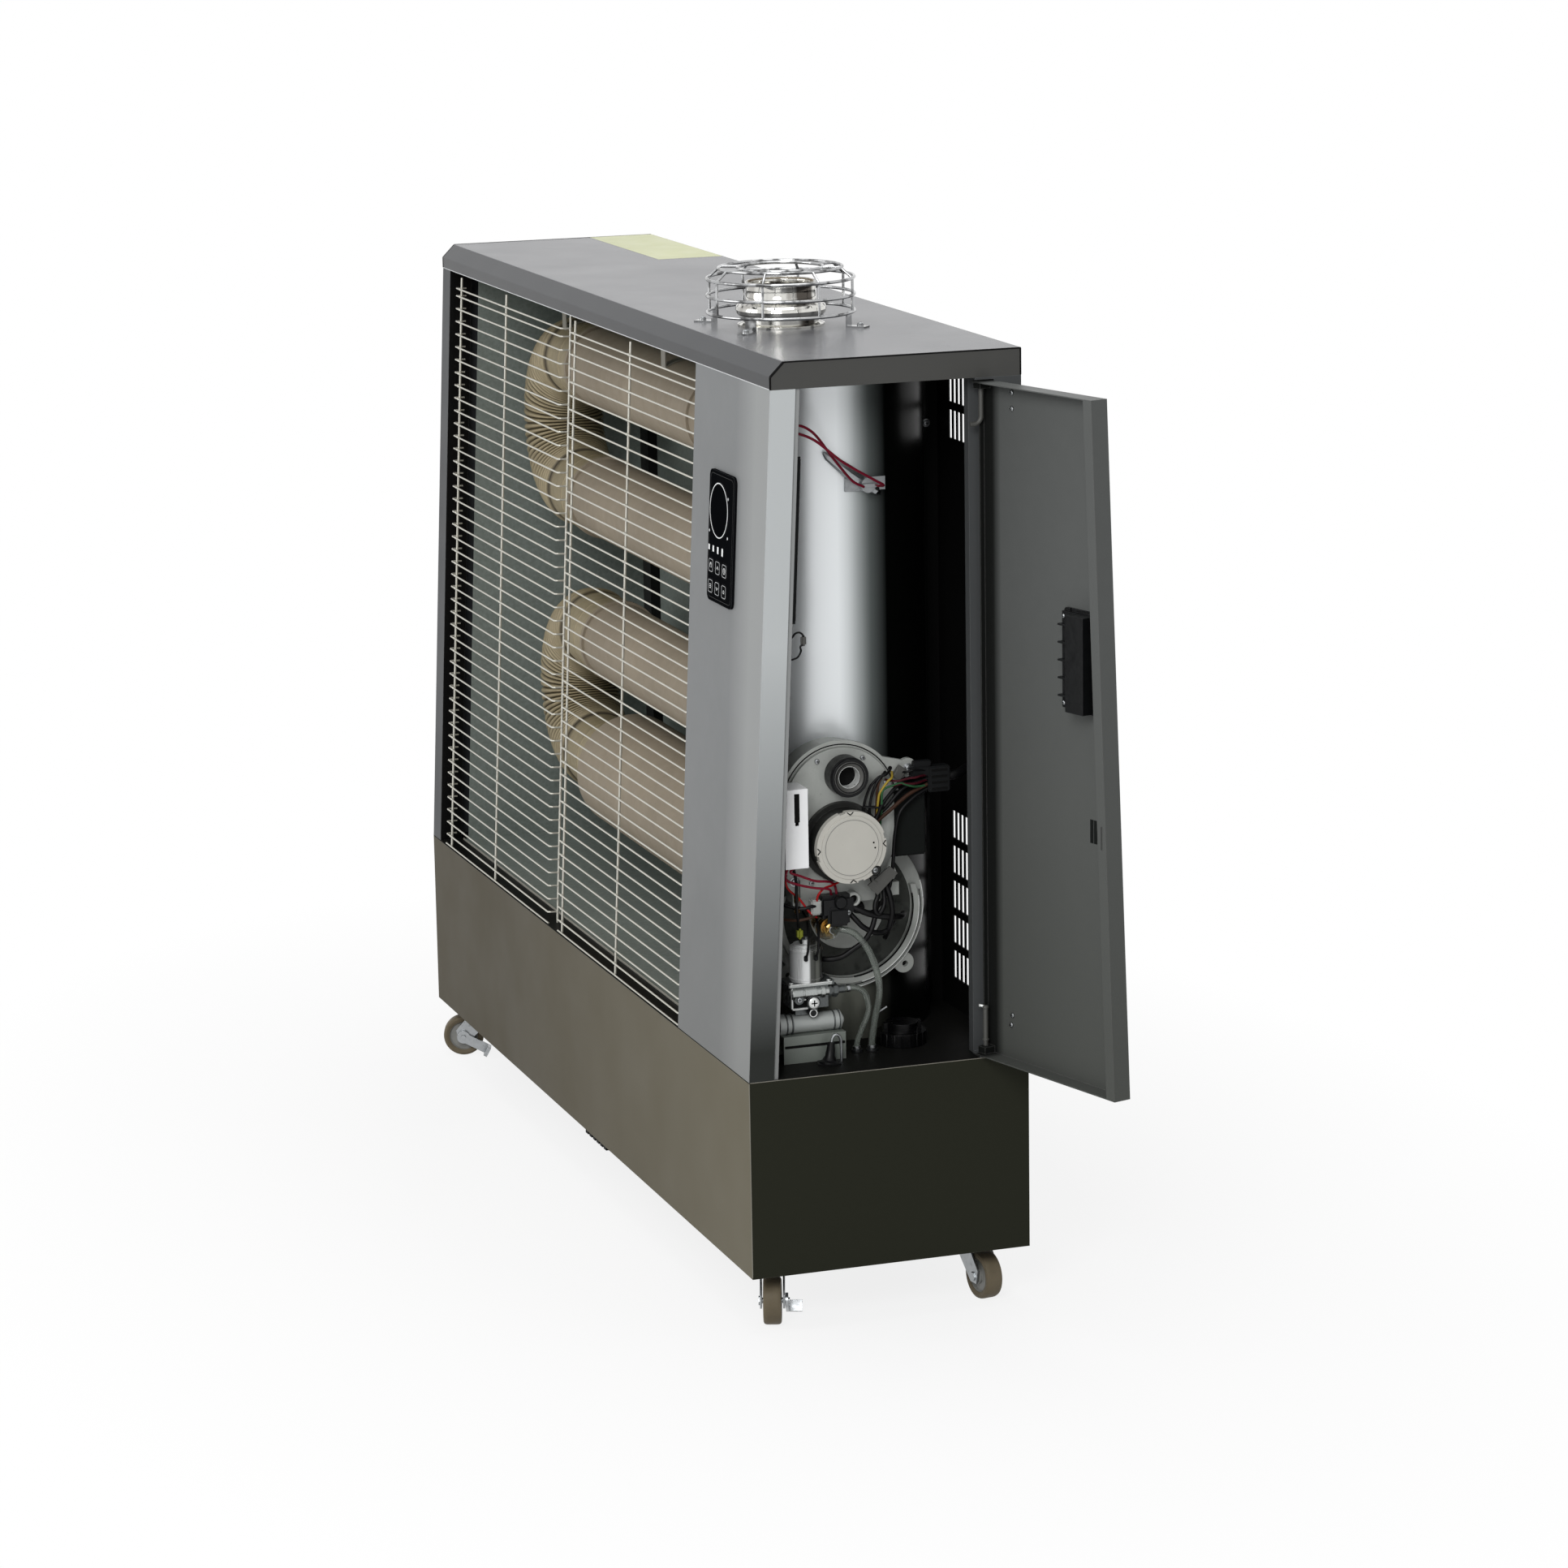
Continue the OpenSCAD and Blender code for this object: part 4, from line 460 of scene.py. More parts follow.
class Build:
    """Collects forms, in mm in the cabinet frame. done() makes them one piece and starts the next."""

    def __init__(self):
        self.bm = bmesh.new()
        self.rib = self.bm.verts.layers.float.new("rib")
        self.materials = []

    def slot(self, key):
        if M[key] not in self.materials:
            self.materials.append(M[key])
        return self.materials.index(M[key])

    def rings(self, rings, key, closed=False, ribs=None):
        """Faces between rings of points; a ring of one point closes an end."""
        k = self.slot(key)
        made = []
        for i, points in enumerate(rings):
            made.append([self.bm.verts.new(q) for q in points])
            for v in made[-1]:
                v[self.rib] = ribs[i] if ribs else 1.0
        for a, b in list(zip(made, made[1:])) + ([(made[-1], made[0])] if closed else []):
            n = max(len(a), len(b))
            for j in range(n):
                quad = [a[j % len(a)], a[(j + 1) % n % len(a)], b[(j + 1) % n % len(b)], b[j % len(b)]]
                quad = [v for i, v in enumerate(quad) if v not in quad[:i]]
                if len(quad) > 2:
                    self.bm.faces.new(quad).material_index = k
        if not closed:
            for verts in (made[0][::-1], made[-1]):
                if len(verts) > 2:
                    self.bm.faces.new(verts).material_index = k

    def lathe(self, origin, axis, profile, key, n=40):
        """profile is (radius, height along the axis), from end to end. One that starts off the axis is a ring."""
        origin, axis = Vector(origin), Vector(axis).normalized()
        side = axis.orthogonal().normalized()
        other = axis.cross(side)
        self.rings([ring(origin + axis * h, r, side, other, n) if r > 0 else [origin + axis * h]
                    for r, h in profile], key, profile[0][0] > 0)

    def tube(self, points, radius, key, n=10, ribs=None, side=(0.31, 0.19, 1)):
        """A tube along points. radius is a number, or one for each point."""
        p = [Vector(q) for q in points]
        last = len(p) - 1
        u = Vector(side)
        rings = []
        for i, c in enumerate(p):
            t = (p[min(i + 1, last)] - p[max(i - 1, 0)]).normalized()
            u = (u - t * u.dot(t)).normalized()
            rings.append(ring(c, radius[i] if isinstance(radius, list) else radius, u, t.cross(u), n))
        self.rings(rings, key, False, ribs)

    def wires(self, table, n, *smoothing):
        """Smooth wires: material, radius and route of each."""
        for key, r, route in table:
            self.tube(smooth(route, *smoothing), r, key, n)

    def block(self, lo, hi, key, bevel=0.6, turn=None, about=None):
        """A box with rounded edges."""
        lo, hi = Vector(lo), Vector(hi)
        box = bmesh.new()
        bmesh.ops.create_cube(box, size=1)
        bmesh.ops.scale(box, vec=hi - lo, verts=box.verts)
        bmesh.ops.translate(box, vec=(lo + hi) / 2, verts=box.verts)
        bmesh.ops.bevel(box, geom=box.edges, offset=bevel, segments=2, affect="EDGES", clamp_overlap=True)
        if turn:
            bmesh.ops.rotate(box, cent=about, matrix=turn, verts=box.verts)
        k = self.slot(key)
        new = {v: self.bm.verts.new(v.co) for v in box.verts}
        for v in new.values():
            v[self.rib] = 1.0
        for f in box.faces:
            self.bm.faces.new([new[v] for v in f.verts]).material_index = k
        box.free()

    def screw(self, origin, axis, r, h, key="zinc", washer=False):
        """A pan head with a cross recess."""
        origin, axis = Vector(origin), Vector(axis).normalized()
        if washer:
            self.lathe(origin, axis, [(0, 0), (r * 1.45, 0), (r * 1.45, 0.6), (r, 0.7), (0, 0.7)], key, 28)
        self.lathe(origin, axis, [(0, 0.5), (r, 0.5), (r, 0.5 + h * 0.45), (r * 0.86, 0.5 + h * 0.8),
                                  (r * 0.5, 0.5 + h), (0, 0.5 + h)], key, 28)
        side = axis.orthogonal().normalized()
        top = origin + axis * (0.52 + h)
        for degrees in (45, 135):
            long = Quaternion(axis, math.radians(degrees)) @ side
            wide = axis.cross(long)
            self.rings([[top + long * a * r * 0.55 + wide * c * r * 0.11 + axis * d for a, c in
                         ((-1, -1), (1, -1), (1, 1), (-1, 1))] for d in (-0.3, 0.04)], "gap")

    def done(self, name, body="cabinet", replaces=(), slot=None, sharp=32):
        bmesh.ops.recalc_face_normals(self.bm, faces=self.bm.faces)
        for f in self.bm.faces:
            f.smooth = True
        data = bpy.data.meshes.new(name)
        self.bm.transform(Matrix.Translation(ORIGIN) @ Matrix.Scale(0.001, 4))
        self.bm.to_mesh(data)
        self.bm.free()
        data.set_sharp_from_angle(angle=math.radians(sharp))
        for material in self.materials:
            data.materials.append(material)
        piece = link_object(name, data)
        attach(piece, body)
        if replaces:
            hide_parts(*replaces)
        self.__init__()


b = Build()


# ---- bellows
def bellows(node, x, z_mid, r_bend):
    """A half-circle bend with rounded ribs, a plain sleeve and a rolled rim at each end."""
    sleeve, ribs, fine, tube_r, rib_h, bead = 92.0, 30, 10, 46.0, 4.0, 34.5
    profile = [(0.0, 0.0), (0.2, 1.4), (1.4, 2.6), (3.0, 2.6), (4.4, 1.4), (5.0, 0.0), (5.4, 0.0),
               (30, 0), (33, 0), (bead, 1), (36, 0), (39, 0), (70, 0)]
    # The last value of each row sets the painted shade of ribs(): none at 1, some on the bead, most in the
    # valleys.
    end = [(x + sleeve - d, tube_r + up, 0.35 if d == bead else 1.0) for d, up in profile]
    rows = [((px, TUBE_Y, z_mid + r_bend), r, mark) for px, r, mark in end]
    for i in range(ribs * fine + 1):
        a = math.pi / 2 + math.pi * i / (ribs * fine)
        wave = abs(math.sin(math.pi * i / fine))
        rows.append(((x + r_bend * math.cos(a), TUBE_Y, z_mid + r_bend * math.sin(a)),
                     tube_r + rib_h * wave ** 0.75 - rib_h / 2 + 0.2, wave))
    rows += [((px, TUBE_Y, z_mid - r_bend), r, mark) for px, r, mark in end[::-1]]
    points, radii, marks = map(list, zip(*rows))
    b.tube(points, radii, "bellows", 72, marks, Y)
    b.done(node + "_form", "cabinet", [node], "bellows_steel", 60)


bellows("upper_bellows", -1027, 748, 78)
bellows("lower_bellows", -989, 428.5, 74.5)

# ---- guards
TILT = math.atan2(LEAN, WALL_H)
OUT = Vector((0, -math.cos(TILT), math.sin(TILT)))
UP = Vector((0, math.sin(TILT), math.cos(TILT)))
WIRE_R, ROD_R, WIRE_DEPTH, HOOK = 1.05, 1.4, 1.5, 14.0


def on_front(x, depth, up):
    """A point of the leaning front: depth behind it, and height up the slope from the plinth."""
    return Vector((x, 0, PLINTH_H)) - OUT * depth + UP * up


def bend(x, way, up, r=3.0):
    """The turn of a wire's end, from the hook's tip forward to the front."""
    turns = [polar(a, r) for a in (22.5, 45, 67.5, 90)]
    return [on_front(x, HOOK, up), on_front(x, WIRE_DEPTH + r, up)] + [
        on_front(x + way * (r - c), WIRE_DEPTH + r - s, up) for c, s in turns]


def guard(node, x0, x1, hooked, rods):
    """Bent wires with soft corners, and the upright rods that they are welded to."""
    pitch, first, count = 15.53, 14, 44
    heights = [first + pitch * i for i in range(count)] + [first + pitch * (count - 1) + 9]
    b.tube([on_front(x0, WIRE_DEPTH, 1.3), on_front(x1, WIRE_DEPTH, 1.3)], WIRE_R, "wire", 8)
    for up in heights:
        start = bend(x0 + 1.5, 1, up) if hooked else [on_front(x0, WIRE_DEPTH, up)]
        b.tube(start + bend(x1 - 1.5, -1, up)[::-1], WIRE_R, "wire", 8)
    for x, depth in rods:
        b.tube([on_front(x, depth, 1.2), on_front(x, depth, 705)], ROD_R, "wire", 10)
        weld = (depth - ROD_R if depth < HOOK / 2 else depth) - 0.5
        for up in heights:
            b.lathe(on_front(x, weld, up), UP, [(0, -1.7), (1.3, -1.2), (1.6, 0), (1.3, 1.2), (0, 1.7)], "wire", 6)
    b.done(node + "_form", "cabinet", [node], "wire_steel", 50)


ROD = WIRE_DEPTH + WIRE_R + ROD_R - 0.2
guard("left_guard", -1175, -728, True, [(-1157, ROD), (-960.4, ROD), (-729.5, HOOK - 1)])
guard("right_guard", -690, -239, False, [(-680, ROD), (-473.5, ROD), (-240.5, HOOK - 1)])


# ---- hoses and wires
PUMP_HOSE = [(-66, 128.1, 71), (-66, 140, 71), (-66.5, 151, 63), (-68, 155, 44), (-72, 148, 22), (-74, 144, 8),
    (-74, 144, 0.1)]
NOZZLE_HOSE = [(-71.9, 118, 134), (-66, 118, 134.5), (-60, 124, 136), (-55, 138, 130), (-54, 154, 106),
    (-58, 164, 70), (-68, 162, 34), (-72, 160, 10), (-72, 160, 0.1)]
THERMO_WIRES = [
    ("red", 1.4, [(-101.9, 168, -119), (-97, 167, -118.5), (-90, 152, -110), (-70, 126, -84), (-48, 96, -52),
        (-36, 72, -42), (-33, 58, -54), (-33, 56, -64), (-33, 56, -73)]),
    ("red", 1.4, [(-101.9, 184, -119), (-98, 184, -119), (-88, 186, -117), (-78, 170, -108), (-60, 132, -86),
        (-44, 94, -58), (-40, 66, -50), (-40, 56, -64), (-40, 56, -73)]),
]
BURNER_WIRES = [
    ("cable", 2, [(-59.5, 158.7, 248.6), (-59.5, 162.1, 250.8), (-62, 176, 261), (-64, 196, 279),
        (-66, 222, 286)]),
    ("brown", 2, [(-55, 159.7, 246.9), (-55, 163.2, 248.9), (-58, 178, 258), (-62, 200, 272), (-66, 222, 280)]),
    ("cable", 2, [(-50.5, 157.2, 250.8), (-50.5, 160.4, 253.3), (-58, 172, 268), (-63, 194, 286),
        (-66, 222, 293)]),
    ("cable", 2, [(-91.9, 156, 148), (-84, 156, 148), (-66, 162, 151), (-60, 176, 174), (-60, 181, 200),
        (-61, 184, 230), (-61, 190, 254), (-63, 206, 268), (-66, 222, 275)]),
    ("cable", 5, [(-69, 246.1, 286), (-70, 258, 288), (-82, 276, 292), (-92, 290, 294), (-92, 301.4, 294)]),
]
BLOCK_LO, BLOCK_HI = (-76, 222.1, PLINTH_H + 272), (-61, 246, PLINTH_H + 299)


def hoses():
    for name, points, r in (("pump_hose", PUMP_HOSE, 3.0), ("nozzle_hose", NOZZLE_HOSE, 3.5)):
        path = smooth(points, 12, PLINTH_H)
        b.tube(path, r, "clear", 20)
        for end, nxt in ((path[0], path[3]), (path[-1], path[-4])):
            way = (nxt - end).normalized()
            b.lathe(end + way * 2.5, way, band(r + 0.1, r + 1.0, 3), "zinc", 24)
        b.done(name, "cabinet", ["fuel_hoses"], "clear_hose")


def harness():
    b.wires(THERMO_WIRES, 12, 10, CAP_Z)
    b.wires(BURNER_WIRES, 14, 10, PLINTH_H)
    b.block(BLOCK_LO, BLOCK_HI, "connector", 1.2)
    for k in range(4):
        z = BLOCK_LO[2] + 3.5 + k * 6.5
        b.block((BLOCK_HI[0] - 0.6, 225, z - 1.6), (BLOCK_HI[0] + 0.3, 243, z + 1.6), "gap", 0.3)
    b.lathe((-109.9, 156, PLINTH_H + 148), X,
            [(0, 0), (7, 0), (7, 11), (6, 11.6), (6, 15.5), (5, 17.9), (0, 17.9)], "black", 32)
    b.done("wiring_looms", "cabinet", ["wiring_harness"], "cable")


# Leads beside the intake collar, each from the lug plate down behind the motor or over to the connector block
LOOSE_LEADS = [
    ("cable", 1.5, [(-66, 181, 508), (-60, 174.5, 505.5), (-60, 167.2, 503.5), (-60, 161.7, 499),
        (-60, 157.1, 494), (-60, 154.3, 488), (-60.5, 151.5, 480), (-61, 150, 470), (-61, 150, 455)]),
    ("cable", 1.5, [(-66, 176, 507), (-60, 170, 504), (-59, 164.4, 498.5), (-59, 160.7, 491), (-60, 157.9, 482),
        (-60, 156.4, 472), (-61, 156, 455)]),
    ("brown", 1.3, [(-66, 174, 505), (-60, 169, 501.5), (-59.5, 166.2, 496), (-59.5, 164.6, 488),
        (-60, 163.6, 473), (-61, 163, 455)]),
    ("yellow", 1.2, [(-68, 184, 506), (-58, 180.3, 502.2), (-56, 175.7, 499.6), (-56, 172, 495.5),
        (-56, 168.3, 490.6), (-56, 165.5, 486), (-56, 164.1, 478), (-58, 164, 470), (-61, 164.5, 455)]),
    ("green", 1.2, [(-66, 222, 489), (-60, 208, 490), (-56, 199.3, 492.3), (-56, 189.3, 495.8),
        (-56, 180.2, 493.9), (-56, 172.9, 492.2), (-56, 168.9, 488), (-56, 168.2, 481), (-56.5, 168, 470),
        (-61, 168, 452)]),
    ("dark_red", 1.2, [(-66, 222, 500), (-58, 212, 501), (-56, 205.7, 500.5), (-56, 196.6, 500),
        (-56, 187.5, 498.5), (-60, 181, 498.3), (-66, 176, 499)]),
    ("dark_red", 1.2, [(-66, 222, 495), (-58, 208, 494), (-56, 198.4, 494.3), (-56, 191.1, 495.3),
        (-56, 182, 494), (-57, 174.7, 492.5), (-60, 170, 488), (-61, 167, 470), (-61, 166, 452)]),
    ("cable", 1.1, [(-70, 193, 505), (-62, 197.3, 505.6), (-60, 201.8, 507), (-60, 206.4, 507.5),
        (-64, 222, 505)]),
]


def lead_bundle():
    b.wires(LOOSE_LEADS, 10)
    # The tab that holds them, hung from the lug plate's screw
    turn = Matrix.Rotation(math.radians(-38), 3, "X")
    b.block((-71.9, 187, 497), (-65, 197, 511), "tab", 0.8, turn, (-70, 192, 504))
    # Plug with its latch, clipped to the connector block
    b.block((-74, 204, 499), (-62, 225, 510), "connector", 1.4)
    b.block((-72, 207, 509), (-63, 226, 515.5), "connector", 1.0)
    # Cable tie under the collar
    b.tube([(-58.5, 149, 473.5), (-55.5, 157, 473), (-54.5, 166, 472.5), (-58, 171, 472), (-62.5, 166, 472),
            (-63.5, 152, 473)], 0.9, "black", 8)
    b.done("loose_leads")


# High-voltage cables from the igniter over the housing's face, and the leads of the igniter box
HT_CABLES = [
    ("cable", 3.2, [(-64, 128, 372), (-58, 142.3, 365.7), (-56, 151.9, 361), (-56, 163.5, 357.6),
        (-56, 177.1, 355.4), (-62, 190, 353.5), (-76, 198, 352)]),
    ("cable", 2.6, [(-62, 158, 398), (-57, 162.8, 381), (-55, 159.4, 371.5), (-53, 158.7, 364),
        (-53, 162.6, 360.5), (-54, 167.5, 366), (-56, 169.9, 375), (-62, 169, 396)]),
    ("cable", 3.0, [(-62, 169, 398), (-57, 172.6, 388), (-54, 175.4, 377.5), (-52.5, 177.2, 362.3),
        (-55, 176.1, 351.2), (-60, 175, 341), (-72, 176, 330)]),
    ("cable", 2.8, [(-64, 130, 366), (-57, 138.3, 355.8), (-55, 145.9, 347.5), (-56, 157.5, 340.8),
        (-58, 167.2, 338.9), (-60, 175, 341), (-70, 184, 346)]),
    ("cable", 2.8, [(-62, 164, 372), (-57, 159.6, 356.5), (-55, 153.6, 342.1), (-56, 145.7, 331.6),
        (-58, 134, 323.4), (-60, 122.3, 316.5), (-66, 106.8, 314.5), (-90, 98, 314)]),
]
IGNITER_LEADS = [
    ("red", 1.3, [(-40, 72, 424), (-40, 62, 417), (-42, 74, 411), (-45, 90, 404), (-48, 103, 401.5),
        (-56, 112, 398), (-62, 118, 392), (-62, 120, 380)]),
    ("red", 1.3, [(-40, 60, 424), (-40, 57, 410), (-42, 72, 402), (-45, 90, 396.5), (-48, 106, 393),
        (-58, 112, 386), (-60, 114, 380)]),
    ("scarlet", 1.2, [(-62, 122, 396), (-54, 111, 395), (-50, 102, 394), (-48, 96, 390), (-50, 94, 384),
        (-56, 96, 376), (-62, 98, 370)]),
    ("cable", 1.6, [(-44, 66, 423), (-45, 69.7, 404), (-45, 69.7, 388), (-47, 70.8, 376), (-50, 72.5, 366),
        (-58, 76, 354), (-60, 78, 342), (-66, 82, 332)]),
    ("cable", 1.8, [(-62, 60, 378), (-52, 76, 374), (-50, 88, 376), (-56, 100, 374)]),
    ("brown", 1.5, [(-62, 62, 362), (-53, 74, 362), (-52, 88, 364), (-58, 100, 368)]),
    ("scarlet", 1.1, [(-44, 58, 420), (-46, 60, 400), (-50, 74, 386), (-52, 86, 370), (-58, 96, 362)]),
]


def ignition():
    b.wires(HT_CABLES, 12)
    # The socket they come out of
    b.block((-72, 98, 360), (-52, 136, 384), "black", 4)
    b.block((-56, 106, 352), (-48, 130, 372), "black", 3)
    b.lathe((-56, 120, 377), X, plug(7, 6, (5.5, 8)), "black", 28)
    b.lathe((-72, 137, 377), X, [(4.6, 0), (8, 0), (8, 13), (7, 14), (4.6, 14)], "cast", 28)
    b.lathe((-72, 137, 377), X, plug(4.6, 10), "gap", 24)
    b.screw((-50.5, 128, 366), X, 2.6, 1.4)
    b.done("ignition_socket")
    b.wires(IGNITER_LEADS, 10)
    b.lathe((-50, 71, 390), (0, 0.05, -1),
            [(0, 0), (2.6, 0), (2.6, 8), (1.6, 9), (1.6, 15), (3, 16), (3, 19), (0, 20)], "brass", 16)
    b.block((-62, 74, 341), (-54, 80, 352), "olive", 2)
    b.block((-62, 88, 366), (-50, 99, 382), "cast", 1.5)
    b.done("igniter_leads")
    b.block((-34.1, 65.2, 469.7), (-33.8, 70.8, 499.4), "gap", 0.05)
    b.done("igniter_slot")


# ---- burner and pump
BURNER_Y, MOTOR_Z, HOUSING_Z, FLANGE_Z = 127, 438, 477, 354
COVER_X, END_CAP_X = -72, -33.0


def burner_details():
    for r, key in ((29.0, "hub"), (30.2, "motor_cap")):
        b.lathe((END_CAP_X, BURNER_Y, MOTOR_Z), X,
                [(r - 0.35, -0.4), (r - 0.3, 0.12), (r + 0.3, 0.12), (r + 0.35, -0.4)], key, 72)
    for a in (2, 92, 182, 272):
        for side in (-1, 1):
            ends = polar(a, 34.2), polar(a + side * math.degrees(0.09), 37.4)
            b.tube([(END_CAP_X - 1.1, BURNER_Y + y, MOTOR_Z + z) for y, z in ends], 0.55, "gap", 6)
    for y, z in ((150.5, 441.5), (152.0, 436.0)):
        b.lathe((END_CAP_X - 0.4, y, z), X, plug(1.0, 0.5), "gap", 16)
    b.done("end_cap_marks")
    # Lug in the cap's large notch
    b.lathe((-68, 154, 411), X, plug(7, 27, (5.5, 28.5)), "black_metal", 28)
    b.screw((-39.6, 154, 411), X, 3, 1.6)
    b.done("motor_lug")
    # Steel throat inside the intake collar
    b.lathe((-46.6, 131, 508), (-1, 0, 0),
            [(16.4, 0), (16.4, 0.8), (15.8, 1.4), (12.2, 3.0), (11.6, 4), (11.6, 21.2), (16.4, 21.2), (16.9, 3),
             (17.2, 0.6)], "tab", 64)
    b.lathe((-50.4, 131, 508), (-1, 0, 0), band(11.5, 11.1, 17), "bright", 64)
    # A dark disc at the bottom of the throat, as painted shade in its depth.
    b.lathe((-64, 131, 508), (-1, 0, 0), plug(11.3, 3.8), "gap")
    b.done("intake_throat")
    # Bracket that clamps the cables
    arm = [(149.6, 392.6), (174.0, 410.8), (182.5, 402.6), (160.1, 381.4)]
    b.rings([[(x, y, z) for y, z in arm] for x in (-51.4, -49.4)], "tab")
    b.tube([(-41, 152.5, 408), (-46, 153.5, 404), (-50.4, 155, 398), (-50.4, 160, 394)], 1.8, "tab", 8)
    b.done("cable_clamp")
    # Relay box beside the motor, on the housing's plate
    b.block((-110, 174, 415), (-70, 221.5, 485), "dark_cover", 1.5)
    b.screw((-70, 215, 478), X, 2, 1.2, "connector")
    b.done("rear_cover")
    # Screws of the housing's cover, and of the lug plate
    for y, z in ((203, 508), (77, 398), (179, 398), (63, 482)):
        b.screw((COVER_X, y, z), X, 3.4, 2.4, washer=True)
    for a in (20, 62, 118, 160, 232, 308):
        y, z = polar(a, 53)
        b.screw((-68, BURNER_Y + y, (HOUSING_Z if a < 180 else MOTOR_Z) + z), X, 2.6, 1.6)
    b.lathe((COVER_X, 183.5, 509), X, plug(2.4, 0.12, start=-0.1), "gap", 20)
    b.done("housing_screws")
    # Ribs cast on the housing's edge, seen as lines round the cover
    arc = [polar(a, 60.4) for a in range(0, 181, 6)]
    path = [(COVER_X, BURNER_Y + y, HOUSING_Z + z) for y, z in arc]
    b.tube(path + [(COVER_X, 66.6, 460), (COVER_X, 66.6, 445)], 0.9, "cast", 8)
    b.tube([(COVER_X + 0.1, BURNER_Y + y * 1.025, HOUSING_Z + z * 1.025) for y, z in arc], 0.6, "gap", 8)
    b.done("cover_bead")
    # Gasket between the flange and the housing, and the flange's bright edges
    b.lathe((-110, TUBE_Y, FLANGE_Z), X, [(42, 0), (71, 0), (71, 0.8), (69, 1.2), (42, 1.2)], "gasket", 72)
    b.done("flange_gasket")
    for r, x, key, first, last, thick in ((85.6, -110, "bright", -86, 16, 0.7),
                                          (78.4, -101.8, "bright", -80, 8, 0.6),
                                          (71.4, -102, "gap", -86, 12, 0.9), (82.6, -109.9, "gap", -86, 12, 0.5)):
        arc = [polar(a, r) for a in range(first, last + 1, 3)]
        b.tube([(x, TUBE_Y + y, FLANGE_Z + z) for y, z in arc], thick, key, 8)
    b.done("flange_lines")
    # Clear sleeve round the nozzle's union
    b.lathe((-80, 114, 347), (1, -0.3, 0.1), [(8.4, 0), (9.6, 0), (11.4, 12), (13, 21), (12.2, 21.4), (10.4, 12)],
            "clear", 32)
    b.lathe((-82, 116, 346), X, plug(6, 12, (4.4, 13)), "brass", 6)
    b.done("nozzle_sleeve")


